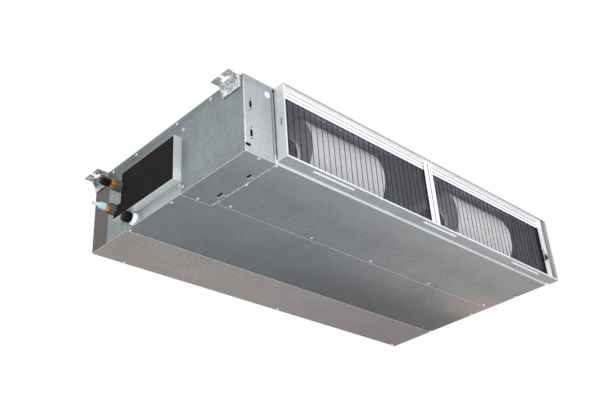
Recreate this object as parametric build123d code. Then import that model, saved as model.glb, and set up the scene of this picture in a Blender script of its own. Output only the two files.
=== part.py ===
"""Ducted air conditioner indoor unit, for hanging in a ceiling void.

Air comes in through two filters at the inlet frame, passes two centrifugal fans on
one motor shaft, crosses a slanted evaporator and leaves by the outlet collar.

Own frame: +X along the length from the pipe end to the far end, +Y from the inlet to
the outlet, +Z up. The origin is the centre of the flat underside. Millimetres.
"""
from build123d import *
from math import atan2, ceil, cos, degrees, hypot, radians, sin
import os

# Casing
body_length = 1360.0
body_depth = 700.0
body_height = 245.0
sheet = 1.2
fan_section = 250.0
coil_section = 271.0
ebox_width = 100.0
ebox_depth = 267.0
ebox_plate_overlap = 2.0
panel_gap = 0.6
top_front_flange = 24.0
top_side_flange = 14.0
seam_flange = 15.0
foot_flange = 20.0

# Inlet frame, in front of the body
frame_gap = 6.8
frame_overhang = 21.7
frame_depth = 38.0
frame_lift = 8.0
frame_drop = 2.0
frame_lip = 5.0
guide_depth = 21.0
guide_lip = 20.0
head_guide_lip = 29.0
left_lip = 3.5
far_jamb_width = 31.7
far_flange_width = 16.0
far_flange_holes = (79.0, 156.0, 211.0)
jamb_rear_flange = 12.0
mullion_width = 40.0
mullion_groove = 4.0
mullion_offset = -7.0
mullion_step = 2.8
sill_slot_length = 158.0
sill_slot_width = 8.0
sill_slot_pitch = 454.0
sill_slot_setback = 13.0
head_hole_pitch = 202.4
head_hole_count = 6
head_hole_setback = 16.0
frame_hole_r = 2.1
rear_lip = 20.0

# Filters
filter_thickness = 13.4
filter_clearance = 0.6
filter_seat = 0.3
filter_border = 10.0
filter_end = 40.0
filter_rib_pitch = 22.0
filter_rib_width = 1.4
filter_rib_depth = 1.2
filter_net_thickness = 0.8

# Fans: two double-inlet wheels in volute housings, one motor between them
fan_axis_from_inlet = 145.0
fan_axis_below_middle = 0.5
housing_wall = 2.5
housing_clearance = 6.0
tongue_inset = 16.0
volute_growth = 62.0
tongue_angle = 35.0
cutoff_clearance = 9.0
housing_end_gap_pipe_side = 150.0
housing_end_gap_far_side = 158.0
motor_bay = 356.0
mouth_flange = 9.0
inlet_ring_overlap = 5.0
inlet_ring_height = 7.0
wheel_side_clearance = 14.0
wheel_disc = 3.0
wheel_ring = 3.0
blade_depth = 13.0
blade_thickness = 1.2
blade_count = 36
shaft_r = 6.35
shaft_clearance = 0.05
hub_r = 20.0
hub_length = 26.0
shaft_end = 12.0

# Motor on its cradle
motor_r = 62.0
motor_length = 118.0
motor_boss_r = 24.0
motor_boss_length = 14.0
bearing_clearance = 0.06
cradle_sheet = 2.5
cradle_spacing = 76.0
cradle_width = 96.0
cradle_foot = 26.0
strap_sheet = 1.2
strap_width = 14.0
strap_ear = 14.0

# Evaporator, a slanted finned block
coil_end_gap_pipe_side = 78.0
coil_end_gap_far_side = 58.0
coil_plate = 1.5
coil_plate_border = 4.0
coil_plate_tab = 24.0
coil_thickness = 52.0
coil_top_inset = 32.0
coil_top_drop = 36.0
coil_foot_inset = 31.0
coil_foot_height = 48.0
tube_r = 4.8
tube_pitch = 22.0
bend_leg = 6.0
insulation = 5.0

# Pipework at the pipe end
gas_pipe_r = 7.94
gas_pipe_beyond_coil = 8.0
gas_pipe_height = 140.0
liquid_pipe_r = 4.76
liquid_pipe_beyond_coil = 34.0
liquid_pipe_height = 75.0
header_r = 11.0
header_stub_r = 4.8
header_stub_count = 6
header_share = 0.30
header_standoff = 20.0
distributor_r = 9.0
distributor_length = 23.0
distributor_standoff = 18.0
distributor_rise = 22.0
distributor_setback = 48.0
capillary_r = 1.6
liquid_bend_r = 10.0
pipe_bend_r = 24.0
gas_grommet_r = 17.0
liquid_grommet_r = 17.0
grommet_clearance = 0.1
grommet_proud = 22.0
gas_nut_flats = 27.0
gas_nut_length = 14.0
liquid_nut_flats = 22.0
liquid_nut_length = 13.0
gas_cap_r = 13.0
gas_cap_length = 30.0
liquid_cap_r = 10.5
liquid_cap_length = 20.0
liquid_cap_tip = 20.0
liquid_proud = 16.0
cap_wall = 3.0
nut_gap = 0.3

# Raised cover around the pipes
box_from_seam = 2.0
box_past_coil = 2.0
box_foot = 41.0
box_head_room = 62.0
box_depth = 23.6
collar_depth = 15.0
tray_gap = 0.6
foam = 3.0
ear_reach = 34.0
ear_height = 43.0

# Drain pan and its socket
pan_wall = 6.0
pan_floor = 10.0
pan_rim = 40.0
pan_clearance = 1.0
pan_corner_r = 12.0
drain_from_coil_end = 34.0
drain_height = 22.0
drain_bore_r = 10.0
drain_pipe_r = 12.5
drain_collar_r = 15.5
drain_collar_length = 12.0
drain_flange_r = 18.5
drain_flange = 5.0
drain_pipe_proud = 32.0
drain_cap_r = 15.5
drain_cap_length = 24.0
drain_cap_ribs = 14
drain_fit = 0.1

# Outlet collar
outlet_width = 1186.0
outlet_height = 175.0
outlet_collar = 36.0
outlet_flange = 15.0
outlet_hole_inset = 60.0

# Hanger brackets
hanger_plate = 2.5
hanger_reach = 42.0
hanger_width = 73.0
hanger_from_inlet = 47.5
hanger_from_outlet = 36.0
hanger_slot_from_side = 21.0
hanger_slot_width = 11.0
hanger_slot_length = 30.0
hanger_mouth = 11.0
hanger_leg = 38.0
hanger_leg_side = 8.0
hanger_rib = 3.0
hanger_rib_reach = 15.0

# Control box
cover_right_fold = 4.0
cable_hole_width = 8.0
cable_hole_length = 22.0
clamp_hole_r = 2.2
clamp_hole_offset = 18.0
cable_hole_from_side = 23.0
cable_hole_heights = (64.0, 155.0)
cover_notch_width = 16.0
cover_notch_height = 9.0
cover_notch_foot = 20.0
board_width = 150.0
board_height = 120.0
board_thickness = 1.6
board_standoff = 8.0
standoff_r = 3.0
board_inset = 8.0
transformer_size = (28.0, 36.0, 32.0)
transformer_place = (38.0, -24.0)
relay_size = (16.0, 20.0, 20.0)
relay_places = ((-10.0, -34.0), (-38.0, -34.0))
can_depth = 24.0
can_r = 9.0
can_places = ((14.0, 26.0), (36.0, 26.0))
socket_size = (8.0, 12.0, 8.0)
socket_pitch = 18.0
socket_count = 4
socket_first = (-54.0, 48.0)
terminal_length = 42.0
terminal_depth = 24.0
terminal_height = 12.0
terminal_foot = 150.0
terminal_poles = 5
terminal_screw_r = 3.0
capacitor_r = 16.0
capacitor_length = 52.0
capacitor_lift = 6.0
capacitor_saddle_inset = 8.0
capacitor_clearance = 2.0
ebox_slot_wide = 8.0
ebox_slot_from_edge = 14.0
ebox_slots = ((88.0, 20.0), (208.0, 26.0))
hook_root = 6.0
hook_reach = 5.0
hook_shift = 8.0

# Return air sensor on the far jamb
sensor_lead_r = 2.2
sensor_bulb_r = 4.0
sensor_bulb_length = 19.0
sensor_height = 128.0
sensor_drop = 30.0
sensor_forward = 12.0
sensor_standoff = 8.0
sensor_bend_r = 4.0

# Washer-head sheet screws
screw_head_r = 4.8
screw_washer = 0.7
screw_dome_r = 3.4
screw_dome = 0.7
screw_shank_r = 1.9
screw_shank = 7.0
screw_hole_clearance = 0.15

# Planes and places that follow
x_pipe = -body_length / 2
x_far = body_length / 2
y_in = -body_depth / 2
y_out = body_depth / 2
x_side_pipe = x_pipe + sheet
x_side_far = x_far - sheet
x_ebox = x_pipe + ebox_width
y_coil = y_in + fan_section
y_coil_end = y_coil + coil_section
y_seam = y_in + ebox_depth
y_ebox_plate = y_seam + ebox_plate_overlap
z_roof = body_height - sheet

frame_x0 = x_ebox + frame_gap
frame_x1 = x_far + frame_overhang
frame_y = y_in - frame_depth
frame_z0 = frame_lift
frame_z1 = body_height - frame_drop
guide_y = frame_y + guide_depth
guide_back = guide_y + sheet
jamb_x = frame_x1 - far_jamb_width
mullion_x = (frame_x0 + frame_x1) / 2 + mullion_offset

filter_y0 = guide_back + filter_clearance
filter_y1 = filter_y0 + filter_thickness
filter_z0 = frame_z0 + sheet + filter_seat
filter_z1 = frame_z1 - sheet - filter_clearance

axis_y = y_in + fan_axis_from_inlet
axis_z = body_height / 2 - fan_axis_below_middle
volute_top = z_roof - housing_clearance - axis_z
volute_tongue = volute_top - tongue_inset
volute_sweep = 270.0 - tongue_angle
wheel_r = volute_tongue - housing_wall - cutoff_clearance
fan_room = body_length - ebox_width - housing_end_gap_pipe_side - housing_end_gap_far_side
housing_width = (fan_room - motor_bay) / 2
left_housing_x = x_ebox + housing_end_gap_pipe_side
right_housing_x = left_housing_x + housing_width + motor_bay
motor_x = left_housing_x + housing_width + motor_bay / 2

coil_x0 = x_pipe + coil_end_gap_pipe_side
coil_x1 = x_far - coil_end_gap_far_side
coil_top_y = y_coil + coil_top_inset + ebox_depth - fan_section
coil_top_z = body_height - coil_top_drop
coil_foot_y = y_coil_end - coil_foot_inset
coil_foot_z = coil_foot_height
coil_run = coil_foot_y - coil_top_y
coil_fall = coil_top_z - coil_foot_z
coil_length = hypot(coil_run, coil_fall)
coil_tilt = degrees(atan2(coil_fall, coil_run))
coil_mid_y = (coil_top_y + coil_foot_y) / 2
coil_mid_z = (coil_top_z + coil_foot_z) / 2

box_y0 = y_seam + box_from_seam
box_y1 = y_coil_end + box_past_coil
box_z0 = box_foot
box_z1 = body_height - box_head_room
box_face_x = x_pipe - box_depth
gas_y = y_coil_end + gas_pipe_beyond_coil
liquid_y = y_coil_end + liquid_pipe_beyond_coil
drain_y = y_coil_end - drain_from_coil_end
screw_hole_r = screw_shank_r + screw_hole_clearance


def block(x0, x1, y0, y1, z0, z1):
    """A box from its low corner to its high corner."""
    middle = Pos((x0 + x1) / 2, (y0 + y1) / 2, (z0 + z1) / 2)
    return middle * Box(x1 - x0, y1 - y0, z1 - z0)


def rod_x(x0, x1, y, z, radius):
    """A round bar along X."""
    return Pos((x0 + x1) / 2, y, z) * Rot(0, 90, 0) * Cylinder(radius, x1 - x0)


def rod_y(x, y0, y1, z, radius):
    """A round bar along Y."""
    return Pos(x, (y0 + y1) / 2, z) * Rot(90, 0, 0) * Cylinder(radius, y1 - y0)


def rod_z(x, y, z0, z1, radius):
    """A round bar along Z."""
    return Pos(x, y, (z0 + z1) / 2) * Cylinder(radius, z1 - z0)


def slot_z(x, y, z0, z1, length, width):
    """A round-ended bar cut through a level sheet, its length along X."""
    return Pos(x, y, z0) * extrude(SlotOverall(length, width), z1 - z0)


def prism_x(face, x0, x1):
    """Extrude a face drawn as (Y, Z) along X."""
    return Pos(x0, 0, 0) * extrude(Plane.YZ * face, x1 - x0)


def evenly(start, end, count):
    """Places from start to end, both included."""
    return [start + (end - start) * i / (count - 1) for i in range(count)]


# Screws: each is a point on an outer face and the outward direction of its head.
# Offsets along a panel are from the pipe end and from the inlet face.
fan_seam_screws = (147.0, 458.0, 717.0, 1006.0)
far_end_screw_inset = 42.0
seam_screw_setback = 12.0
edge_screw_inset = 8.0
side_rail_screws = (136.0, 486.0, 606.0)
seam_side_screw_height = 205.0
bottom_side_screw_height = 20.0
outlet_edge_screws = (108.0, 731.0)
cover_screw_below_top = 32.0


def bottom_screw_points():
    """Underside: the seams of the four bottom panels."""
    seam_y = y_coil - seam_screw_setback
    points = [(x_pipe + x, seam_y) for x in fan_seam_screws]
    points.append((x_far - far_end_screw_inset, seam_y))
    points.append((x_pipe + ebox_width / 2, y_ebox_plate - 1.4 * edge_screw_inset))
    points.append((x_pipe + ebox_width / 2, y_in + edge_screw_inset))
    points.append((x_ebox + edge_screw_inset, y_in + edge_screw_inset))
    points.append((x_ebox + edge_screw_inset, y_in + fan_section / 2))
    points.append((x_far - edge_screw_inset, y_in + fan_section / 2))
    for x in (x_pipe + edge_screw_inset, x_far - edge_screw_inset):
        points.append((x, y_coil_end - edge_screw_inset))
        points.append((x, y_coil + coil_section / 4))
    for x in outlet_edge_screws:
        points.append((x_pipe + x, y_out - edge_screw_inset))
    points.append((x_far - 3 * edge_screw_inset, y_out - edge_screw_inset))
    return [((x, y, 0), (0, 0, -1)) for x, y in points]


def side_screw_points():
    """Both end faces: the top rail, the seam and the foot of each panel."""
    points = []
    rail_z = body_height - top_side_flange / 2
    seam_y = y_seam + edge_screw_inset
    for x, way in ((x_pipe, -1), (x_far, 1)):
        for y in side_rail_screws:
            points.append(((x, y_in + y, rail_z), (way, 0, 0)))
        points.append(((x, y_seam + 2.5 * edge_screw_inset, rail_z), (way, 0, 0)))
        face = x_side_pipe if way < 0 else x_side_far
        points.append(((face, y_seam - edge_screw_inset, seam_side_screw_height), (way, 0, 0)))
        points.append(((face, y_seam - edge_screw_inset, bottom_side_screw_height), (way, 0, 0)))
        points.append(((face, seam_y, bottom_side_screw_height * 1.6), (way, 0, 0)))
    return points


def hanger_screw_points():
    """Two screws through each hanger leg."""
    points = []
    for x, way in ((x_pipe - hanger_plate, -1), (x_far + hanger_plate, 1)):
        for y in (y_in + hanger_from_inlet, y_out - hanger_from_outlet):
            for side in (-1, 1):
                place_y = y + side * (hanger_width / 2 - hanger_leg_side)
                points.append(((x, place_y, body_height - hanger_leg + edge_screw_inset), (way, 0, 0)))
    return points


def face_screw_points():
    """Inlet side: control box cover and inlet frame. Outlet side: the collar."""
    points = []
    points.append(((x_ebox - 2 * edge_screw_inset, y_in + sheet, body_height - cover_screw_below_top),
                   (0, -1, 0)))
    collar_x = outlet_width / 2 - outlet_hole_inset
    collar_z = body_height / 2 + outlet_height / 2 + outlet_flange / 2
    for x in evenly(-collar_x, collar_x, 5):
        for z in (collar_z, body_height - collar_z):
            points.append(((x, y_out + sheet, z), (0, 1, 0)))
    return points


bottom_screws = bottom_screw_points()
other_screws = side_screw_points() + hanger_screw_points() + face_screw_points()


def one_screw(point, way):
    """Washer, domed head and shank, head outwards."""
    turn = {(0, 0, -1): Rot(180, 0, 0), (0, -1, 0): Rot(90, 0, 0), (0, 1, 0): Rot(-90, 0, 0),
            (-1, 0, 0): Rot(0, -90, 0), (1, 0, 0): Rot(0, 90, 0)}[way]
    washer = Pos(0, 0, screw_washer / 2) * Cylinder(screw_head_r, screw_washer)
    dome = Pos(0, 0, screw_washer + screw_dome / 2) * Cylinder(screw_dome_r, screw_dome)
    shank = Pos(0, 0, -screw_shank / 2) * Cylinder(screw_shank_r, screw_shank)
    return Pos(*point) * turn * (washer + dome + shank)


def drilled(shape):
    """Cut the screw holes that fall inside a sheet."""
    box = shape.bounding_box()
    reach = 2 * screw_shank
    for point, way in bottom_screws + other_screws:
        low = [min(p, p - w * screw_shank) for p, w in zip(point, way)]
        high = [max(p, p - w * screw_shank) for p, w in zip(point, way)]
        box_low = (box.min.X, box.min.Y, box.min.Z)
        box_high = (box.max.X, box.max.Y, box.max.Z)
        if any(high[i] < box_low[i] or low[i] > box_high[i] for i in range(3)):
            continue
        x, y, z = point
        if way[0]:
            shape -= rod_x(x - reach, x + reach, y, z, screw_hole_r)
        elif way[1]:
            shape -= rod_y(x, y - reach, y + reach, z, screw_hole_r)
        else:
            shape -= rod_z(x, y, z - reach, z + reach, screw_hole_r)
    return shape


def top_panel():
    """Top sheet with folded flanges along the inlet and both ends."""
    body = block(x_pipe, x_far, y_in, y_out, z_roof, body_height)
    body += block(x_pipe, x_far, y_in, y_in + sheet, body_height - top_front_flange, z_roof)
    for x0 in (x_pipe, x_side_far):
        body += block(x0, x0 + sheet, y_in + sheet, y_out, body_height - top_side_flange, z_roof)
    return drilled(body)


def end_panel(x0, way, y0, y1):
    """Upright end sheet, with flanges folded inwards at its inlet edge and its foot."""
    body = block(x0, x0 + sheet, y0, y1, sheet, z_roof)
    inner = x0 + sheet if way > 0 else x0
    flange_x = sorted((inner, inner + way * seam_flange))
    body += block(flange_x[0], flange_x[1], y0, y0 + sheet, 3 * sheet, z_roof)
    body += block(flange_x[0], flange_x[1], y0 + 2 * sheet, y1 - 2 * sheet, sheet, 2 * sheet)
    return body


def cover_notch():
    """The low notch in the cover's edge, through the side panel's flange behind it too."""
    x0 = x_side_pipe + sheet
    return block(x0, x0 + cover_notch_width, y_in, y_in + 4 * sheet,
                 cover_notch_foot, cover_notch_foot + cover_notch_height)


def ebox_side_panel():
    """End sheet beside the control box."""
    body = end_panel(x_side_pipe, 1, y_in + 2 * sheet, y_seam - panel_gap)
    return drilled(body - cover_notch())


def cover_outline(inset):
    """The pipe cover seen from the pipe end: a rectangle with a low ear."""
    ear_y = box_y1 + ear_reach
    with BuildSketch() as outline:
        with BuildLine():
            Polyline(
                (box_y0 + inset, box_z0 + inset),
                (ear_y - inset, box_z0 + inset),
                (ear_y - inset, box_z0 + ear_height - inset),
                (box_y1 - inset, box_z0 + ear_height - inset),
                (box_y1 - inset, box_z1 - inset),
                (box_y0 + inset, box_z1 - inset),
                close=True,
            )
        make_face()
    return outline.sketch


def pipe_notches(clearance):
    """The round spaces that the two grommets take."""
    gas = rod_x(box_face_x - sheet, x_pipe + seam_flange, gas_y, gas_pipe_height,
                gas_grommet_r + clearance)
    liquid = rod_x(box_face_x - sheet, x_pipe + seam_flange, liquid_y, liquid_pipe_height,
                   liquid_grommet_r + clearance)
    return gas + liquid


def coil_end_panel_pipe_side():
    """End sheet of the coil section, with the opening and raised collar for the pipes."""
    body = end_panel(x_side_pipe, 1, y_seam, y_out)
    body -= prism_x(cover_outline(sheet), x_pipe - sheet, x_pipe + 3 * sheet)
    collar = prism_x(cover_outline(0), x_pipe - collar_depth, x_side_pipe)
    collar -= prism_x(cover_outline(sheet), x_pipe - collar_depth - 1, x_side_pipe + 1)
    body += collar
    body -= pipe_notches(grommet_clearance)
    body -= rod_x(x_pipe - 1, x_pipe + seam_flange, drain_y, drain_height, drain_pipe_r + 1)
    return drilled(body)


def pipe_cover_tray():
    """Shallow tray that closes the collar, notched round both pipes."""
    back = x_pipe - collar_depth - tray_gap
    body = prism_x(cover_outline(0), box_face_x, back)
    body -= prism_x(cover_outline(sheet), box_face_x - 1, box_face_x + foam)
    body -= prism_x(cover_outline(sheet), box_face_x + foam + sheet, back + 1)
    body -= pipe_notches(grommet_clearance)
    for z in (box_z0 + edge_screw_inset, box_z1 - edge_screw_inset):
        body -= rod_x(box_face_x, x_pipe, (box_y0 + box_y1) / 2, z, screw_hole_r)
    spacer = tray_gap
    for y in (box_y0, (box_y0 + box_y1) / 2):
        body += block(back, back + spacer, y, y + seam_flange, box_z0, box_z0 + sheet)
        body += block(back, back + spacer, y, y + seam_flange, box_z1 - sheet, box_z1)
    return body


def pipe_cover_foam():
    """Closed-cell foam sheet laid in the tray."""
    body = prism_x(cover_outline(sheet + grommet_clearance), box_face_x, box_face_x + foam)
    return body - pipe_notches(grommet_clearance)


def fan_end_panel_far_side():
    """End sheet of the fan section at the far end."""
    body = end_panel(x_side_far - sheet, -1, y_in + sheet, y_coil - panel_gap)
    return drilled(body)


def coil_end_panel_far_side():
    """End sheet of the coil and outlet sections at the far end."""
    body = end_panel(x_side_far - sheet, -1, y_coil, y_out)
    return drilled(body)


def ebox_bottom_plate():
    """Underside of the control box, with two punched slots and a lanced hook beside each."""
    edge_x = x_ebox - panel_gap
    body = block(x_pipe, edge_x, y_in, y_ebox_plate, 0, sheet)
    slot_x = x_ebox - ebox_slot_from_edge
    for from_inlet, length in ebox_slots:
        y = y_in + from_inlet
        body -= block(slot_x - ebox_slot_wide / 2, slot_x + ebox_slot_wide / 2,
                      y - length / 2, y + length / 2, -1, 2 * sheet)
        body += block(edge_x - hook_root, edge_x + hook_reach, y + hook_shift - length / 2,
                      y + hook_shift + length / 2, -sheet, 0)
    return drilled(body)


def fan_bottom_panel():
    """Underside of the fan section, with a flange up behind the inlet frame."""
    body = block(x_ebox, x_far, y_in, y_coil - panel_gap, 0, sheet)
    body += block(x_ebox, x_far, y_in, y_in + sheet, sheet, rear_lip + frame_z0)
    return drilled(body)


def coil_bottom_panel():
    """Underside of the coil section, notched round the control box plate."""
    body = block(x_pipe, x_far, y_coil, y_coil_end - panel_gap, 0, sheet)
    body -= block(x_pipe - 1, x_ebox, y_coil - 1, y_ebox_plate + panel_gap, -1, 2 * sheet)
    return drilled(body)


def outlet_bottom_panel():
    """Underside of the outlet section."""
    return drilled(block(x_pipe, x_far, y_coil_end, y_out, 0, sheet))


def outlet_face_panel():
    """Upright sheet at the outlet, open where the duct goes."""
    mid_z = body_height / 2
    body = block(x_side_pipe + sheet, x_side_far - sheet, y_out - sheet, y_out, sheet, z_roof)
    body -= block(-outlet_width / 2, outlet_width / 2, y_out - 2 * sheet, y_out + sheet,
                  mid_z - outlet_height / 2, mid_z + outlet_height / 2)
    return drilled(body)


def outlet_collar_frame():
    """Duct collar: a rectangular spigot on a flat flange."""
    mid_z = body_height / 2
    half_x = outlet_width / 2
    half_z = outlet_height / 2
    body = block(-half_x - outlet_flange, half_x + outlet_flange, y_out, y_out + sheet,
                 mid_z - half_z - outlet_flange, mid_z + half_z + outlet_flange)
    body += block(-half_x - sheet, half_x + sheet, y_out, y_out + outlet_collar,
                  mid_z - half_z - sheet, mid_z + half_z + sheet)
    body -= block(-half_x, half_x, y_out - 1, y_out + outlet_collar + 1, mid_z - half_z, mid_z + half_z)
    return drilled(body)


def frame_rail(z_outer, way, guide):
    """Head or sill of the inlet frame: sheet, front lip, filter guide and rear lip."""
    def leg(x0, x1, y0, y1, height):
        ends = sorted((z_outer, z_outer + way * height))
        return block(x0, x1, y0, y1, ends[0], ends[1])

    body = leg(frame_x0, frame_x1, frame_y, y_in, sheet)
    body += leg(frame_x0, frame_x1, frame_y, frame_y + sheet, frame_lip)
    body += leg(frame_x0 + sheet, jamb_x + sheet, guide_y, guide_back, guide)
    body += leg(frame_x0, frame_x1, y_in - sheet, y_in, rear_lip)
    return body


def inlet_frame_top():
    """Head of the inlet frame, with a row of duct screw holes."""
    body = frame_rail(frame_z1, -1, head_guide_lip)
    half = head_hole_pitch * (head_hole_count - 1) / 2
    middle = (frame_x0 + frame_x1) / 2
    for x in evenly(middle - half, middle + half, head_hole_count):
        body -= rod_z(x, frame_y + head_hole_setback, frame_z1 - 2 * sheet, frame_z1 + 1, frame_hole_r)
    return body


def inlet_frame_bottom():
    """Sill of the inlet frame, with three long slots."""
    body = frame_rail(frame_z0, 1, guide_lip)
    middle = (frame_x0 + frame_x1) / 2
    for step in (-1, 0, 1):
        body -= slot_z(middle + step * sill_slot_pitch, frame_y + sill_slot_setback,
                       frame_z0 - 1, frame_z0 + 2 * sheet, sill_slot_length, sill_slot_width)
    return body


def inlet_frame_left():
    """Jamb beside the control box: front lip, filter guide, rear flange, narrow slot."""
    z0 = frame_z0 + sheet
    z1 = frame_z1 - sheet
    x0 = frame_x0
    body = block(x0, x0 + sheet, frame_y + sheet, y_in - sheet, z0, z1)
    body += block(x0, x0 + left_lip, frame_y, frame_y + sheet, frame_z0 + frame_lip, frame_z1 - frame_lip)
    body += block(x0, x0 + guide_lip, guide_y - sheet, guide_y, z0, z1)
    body += block(x0, x0 + jamb_rear_flange, y_in - sheet, y_in, frame_z0 + rear_lip, frame_z1 - rear_lip)
    slot_y = frame_y + guide_depth - 3 * sheet
    body -= block(x0 - 1, x0 + sheet + 0.1, slot_y - 4, slot_y, body_height / 2 - 11, body_height / 2 + 14)
    return body


def inlet_frame_right():
    """Far jamb: a hat section with a flange, open behind for the filters to slide out."""
    z0 = frame_z0 + sheet
    z1 = frame_z1 - sheet
    flange_x = frame_x1 - far_flange_width
    body = block(jamb_x, jamb_x + sheet, frame_y + sheet, guide_y, z0, z1)
    body += block(jamb_x, flange_x, guide_y - sheet, guide_y, z0, z1)
    body += block(flange_x - sheet, flange_x, frame_y + sheet, guide_y, z0, z1)
    body += block(flange_x - sheet, frame_x1, frame_y, frame_y + sheet,
                  frame_z0 + frame_lip, frame_z1 - frame_lip)
    for z in far_flange_holes:
        body -= rod_y(frame_x1 - far_flange_width / 2, frame_y - 1, frame_y + 2 * sheet, z, frame_hole_r)
    return body


def inlet_mullion():
    """Centre post in front of the joint between the filters: two bars and a groove."""
    z0 = frame_z0 + sheet
    z1 = frame_z1 - sheet
    x0 = mullion_x - mullion_width / 2
    x1 = mullion_x + mullion_width / 2
    groove = mullion_groove / 2
    body = block(x0, x1, guide_y - mullion_step, guide_y, z0, z1)
    body -= block(mullion_x - groove, mullion_x + groove, guide_y - mullion_step - 1,
                  guide_y - sheet, z0 - 1, z1 + 1)
    return body


def filter_span(side):
    """Where each filter runs along X: left of the joint or right of it."""
    joint = filter_seat
    if side == "left":
        return frame_x0 + sheet + filter_clearance, mullion_x - joint
    return mullion_x + joint, frame_x1 - filter_clearance


def filter_mouth(side):
    """Where the frame is open along X: the far filter's outer end is solid."""
    x0, x1 = filter_span(side)
    end = filter_border if side == "left" else filter_end
    return x0 + filter_border, x1 - end


def filter_frame(side):
    """Moulded frame with upright ribs before the net, and a solid end to draw it out by."""
    x0, x1 = filter_span(side)
    m0, m1 = filter_mouth(side)
    body = block(x0, x1, filter_y0, filter_y1, filter_z0, filter_z1)
    body -= block(m0, m1, filter_y0 - 1, filter_y1 + 1,
                  filter_z0 + filter_border, filter_z1 - filter_border)
    gaps = ceil((m1 - m0) / filter_rib_pitch)
    ribs = []
    for i in range(1, gaps):
        x = m0 + (m1 - m0) * i / gaps
        ribs.append(block(x - filter_rib_width / 2, x + filter_rib_width / 2,
                          filter_y0 + 1, filter_y0 + 1 + filter_rib_depth,
                          filter_z0 + filter_border - 1, filter_z1 - filter_border + 1))
    return body + ribs


def filter_net(side):
    """Net behind the ribs, in the moulded frame."""
    m0, m1 = filter_mouth(side)
    net_y = filter_y0 + 1 + filter_rib_depth
    return block(m0, m1, net_y, net_y + filter_net_thickness,
                 filter_z0 + filter_border, filter_z1 - filter_border)


def ebox_cover():
    """Cover of the control box on the inlet side, with cable holes."""
    x0 = x_side_pipe + sheet
    x1 = x_ebox - cover_right_fold
    body = block(x0, x1, y_in + sheet, y_in + 2 * sheet, sheet, z_roof)
    hole_x = x_pipe + cable_hole_from_side
    for z in cable_hole_heights:
        body -= block(hole_x - cable_hole_width / 2, hole_x + cable_hole_width / 2,
                      y_in, y_in + 3 * sheet, z - cable_hole_length / 2, z + cable_hole_length / 2)
        for side in (-1, 1):
            body -= rod_y(hole_x, y_in, y_in + 3 * sheet, z + side * clamp_hole_offset, clamp_hole_r)
    return drilled(body - cover_notch())


def ebox_case():
    """Inner walls of the control box: bent sheet with flanges, and the board's standoffs."""
    back_y = y_seam - panel_gap
    body = block(x_ebox - sheet, x_ebox, y_in + sheet, back_y - sheet, sheet, z_roof)
    body += block(x_side_pipe + sheet + panel_gap, x_ebox, back_y - sheet, back_y, sheet, z_roof)
    body += block(x_side_pipe + foot_flange, x_ebox - sheet, back_y - foot_flange, back_y - sheet,
                  sheet, 2 * sheet)
    body += block(x_ebox - cover_right_fold + panel_gap, x_ebox - sheet, y_in + sheet,
                  y_in + 2 * sheet, sheet, z_roof)
    body += block(x_ebox, frame_x0 + jamb_rear_flange, y_in, y_in + sheet,
                  frame_z0 + rear_lip, body_height - top_front_flange)
    body += block(x_ebox - sheet, x_ebox, y_in, y_in + sheet, frame_z0 + rear_lip,
                  body_height - top_front_flange)
    board_y = y_seam - seam_flange - board_width / 2
    for y in (board_y - board_width / 2 + board_inset, board_y + board_width / 2 - board_inset):
        for side in (-1, 1):
            z = body_height / 2 + side * (board_height / 2 - board_inset)
            body += rod_x(x_ebox - sheet - board_standoff, x_ebox - sheet, y, z, standoff_r)
    return drilled(body)


def circuit_board():
    """Control board with its relay, transformer, capacitors and sockets."""
    x1 = x_ebox - sheet - board_standoff
    x0 = x1 - board_thickness
    mid_y = y_seam - seam_flange - board_width / 2
    mid_z = body_height / 2
    body = block(x0, x1, mid_y - board_width / 2, mid_y + board_width / 2,
                 mid_z - board_height / 2, mid_z + board_height / 2)
    parts = [(transformer_size, transformer_place)]
    parts += [(relay_size, place) for place in relay_places]
    parts += [(socket_size, (socket_first[0] + socket_pitch * i, socket_first[1]))
              for i in range(socket_count)]
    for (depth, wide, tall), (y, z) in parts:
        body += block(x0 - depth, x0, mid_y + y - wide / 2, mid_y + y + wide / 2,
                      mid_z + z - tall / 2, mid_z + z + tall / 2)
    for y, z in can_places:
        body += rod_x(x0 - can_depth, x0, mid_y + y, mid_z + z, can_r)
    return body


def terminal_block():
    """Row of screw terminals for the supply and control wires, on the back wall."""
    y1 = y_seam - panel_gap - sheet
    x0 = x_side_pipe + foot_flange
    x1 = x0 + terminal_length
    z0 = terminal_foot
    body = block(x0, x1, y1 - terminal_height, y1, z0, z0 + terminal_depth)
    pitch = terminal_length / terminal_poles
    for i in range(terminal_poles):
        x = x0 + pitch * (i + 0.5)
        body -= rod_y(x, y1 - terminal_height - 1, y1 - terminal_height + 3, z0 + terminal_depth / 2,
                      terminal_screw_r)
    return body


def run_capacitor():
    """Round motor capacitor lying on the box floor, in its saddle."""
    x = x_side_pipe + seam_flange + capacitor_clearance + capacitor_r
    y0 = y_in + 2 * seam_flange
    z = capacitor_r + capacitor_lift
    body = rod_y(x, y0, y0 + capacitor_length, z, capacitor_r)
    saddle = block(x - capacitor_r, x + capacitor_r, y0 + capacitor_saddle_inset,
                   y0 + capacitor_length - capacitor_saddle_inset, sheet, z)
    return body + saddle


def volute_point(turn, inset):
    """A point on the housing's spiral: turn is degrees past the tongue."""
    radius = volute_tongue + volute_growth * turn / volute_sweep - inset
    angle = radians(-tongue_angle - turn)
    return axis_y + radius * cos(angle), axis_z + radius * sin(angle)


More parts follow.
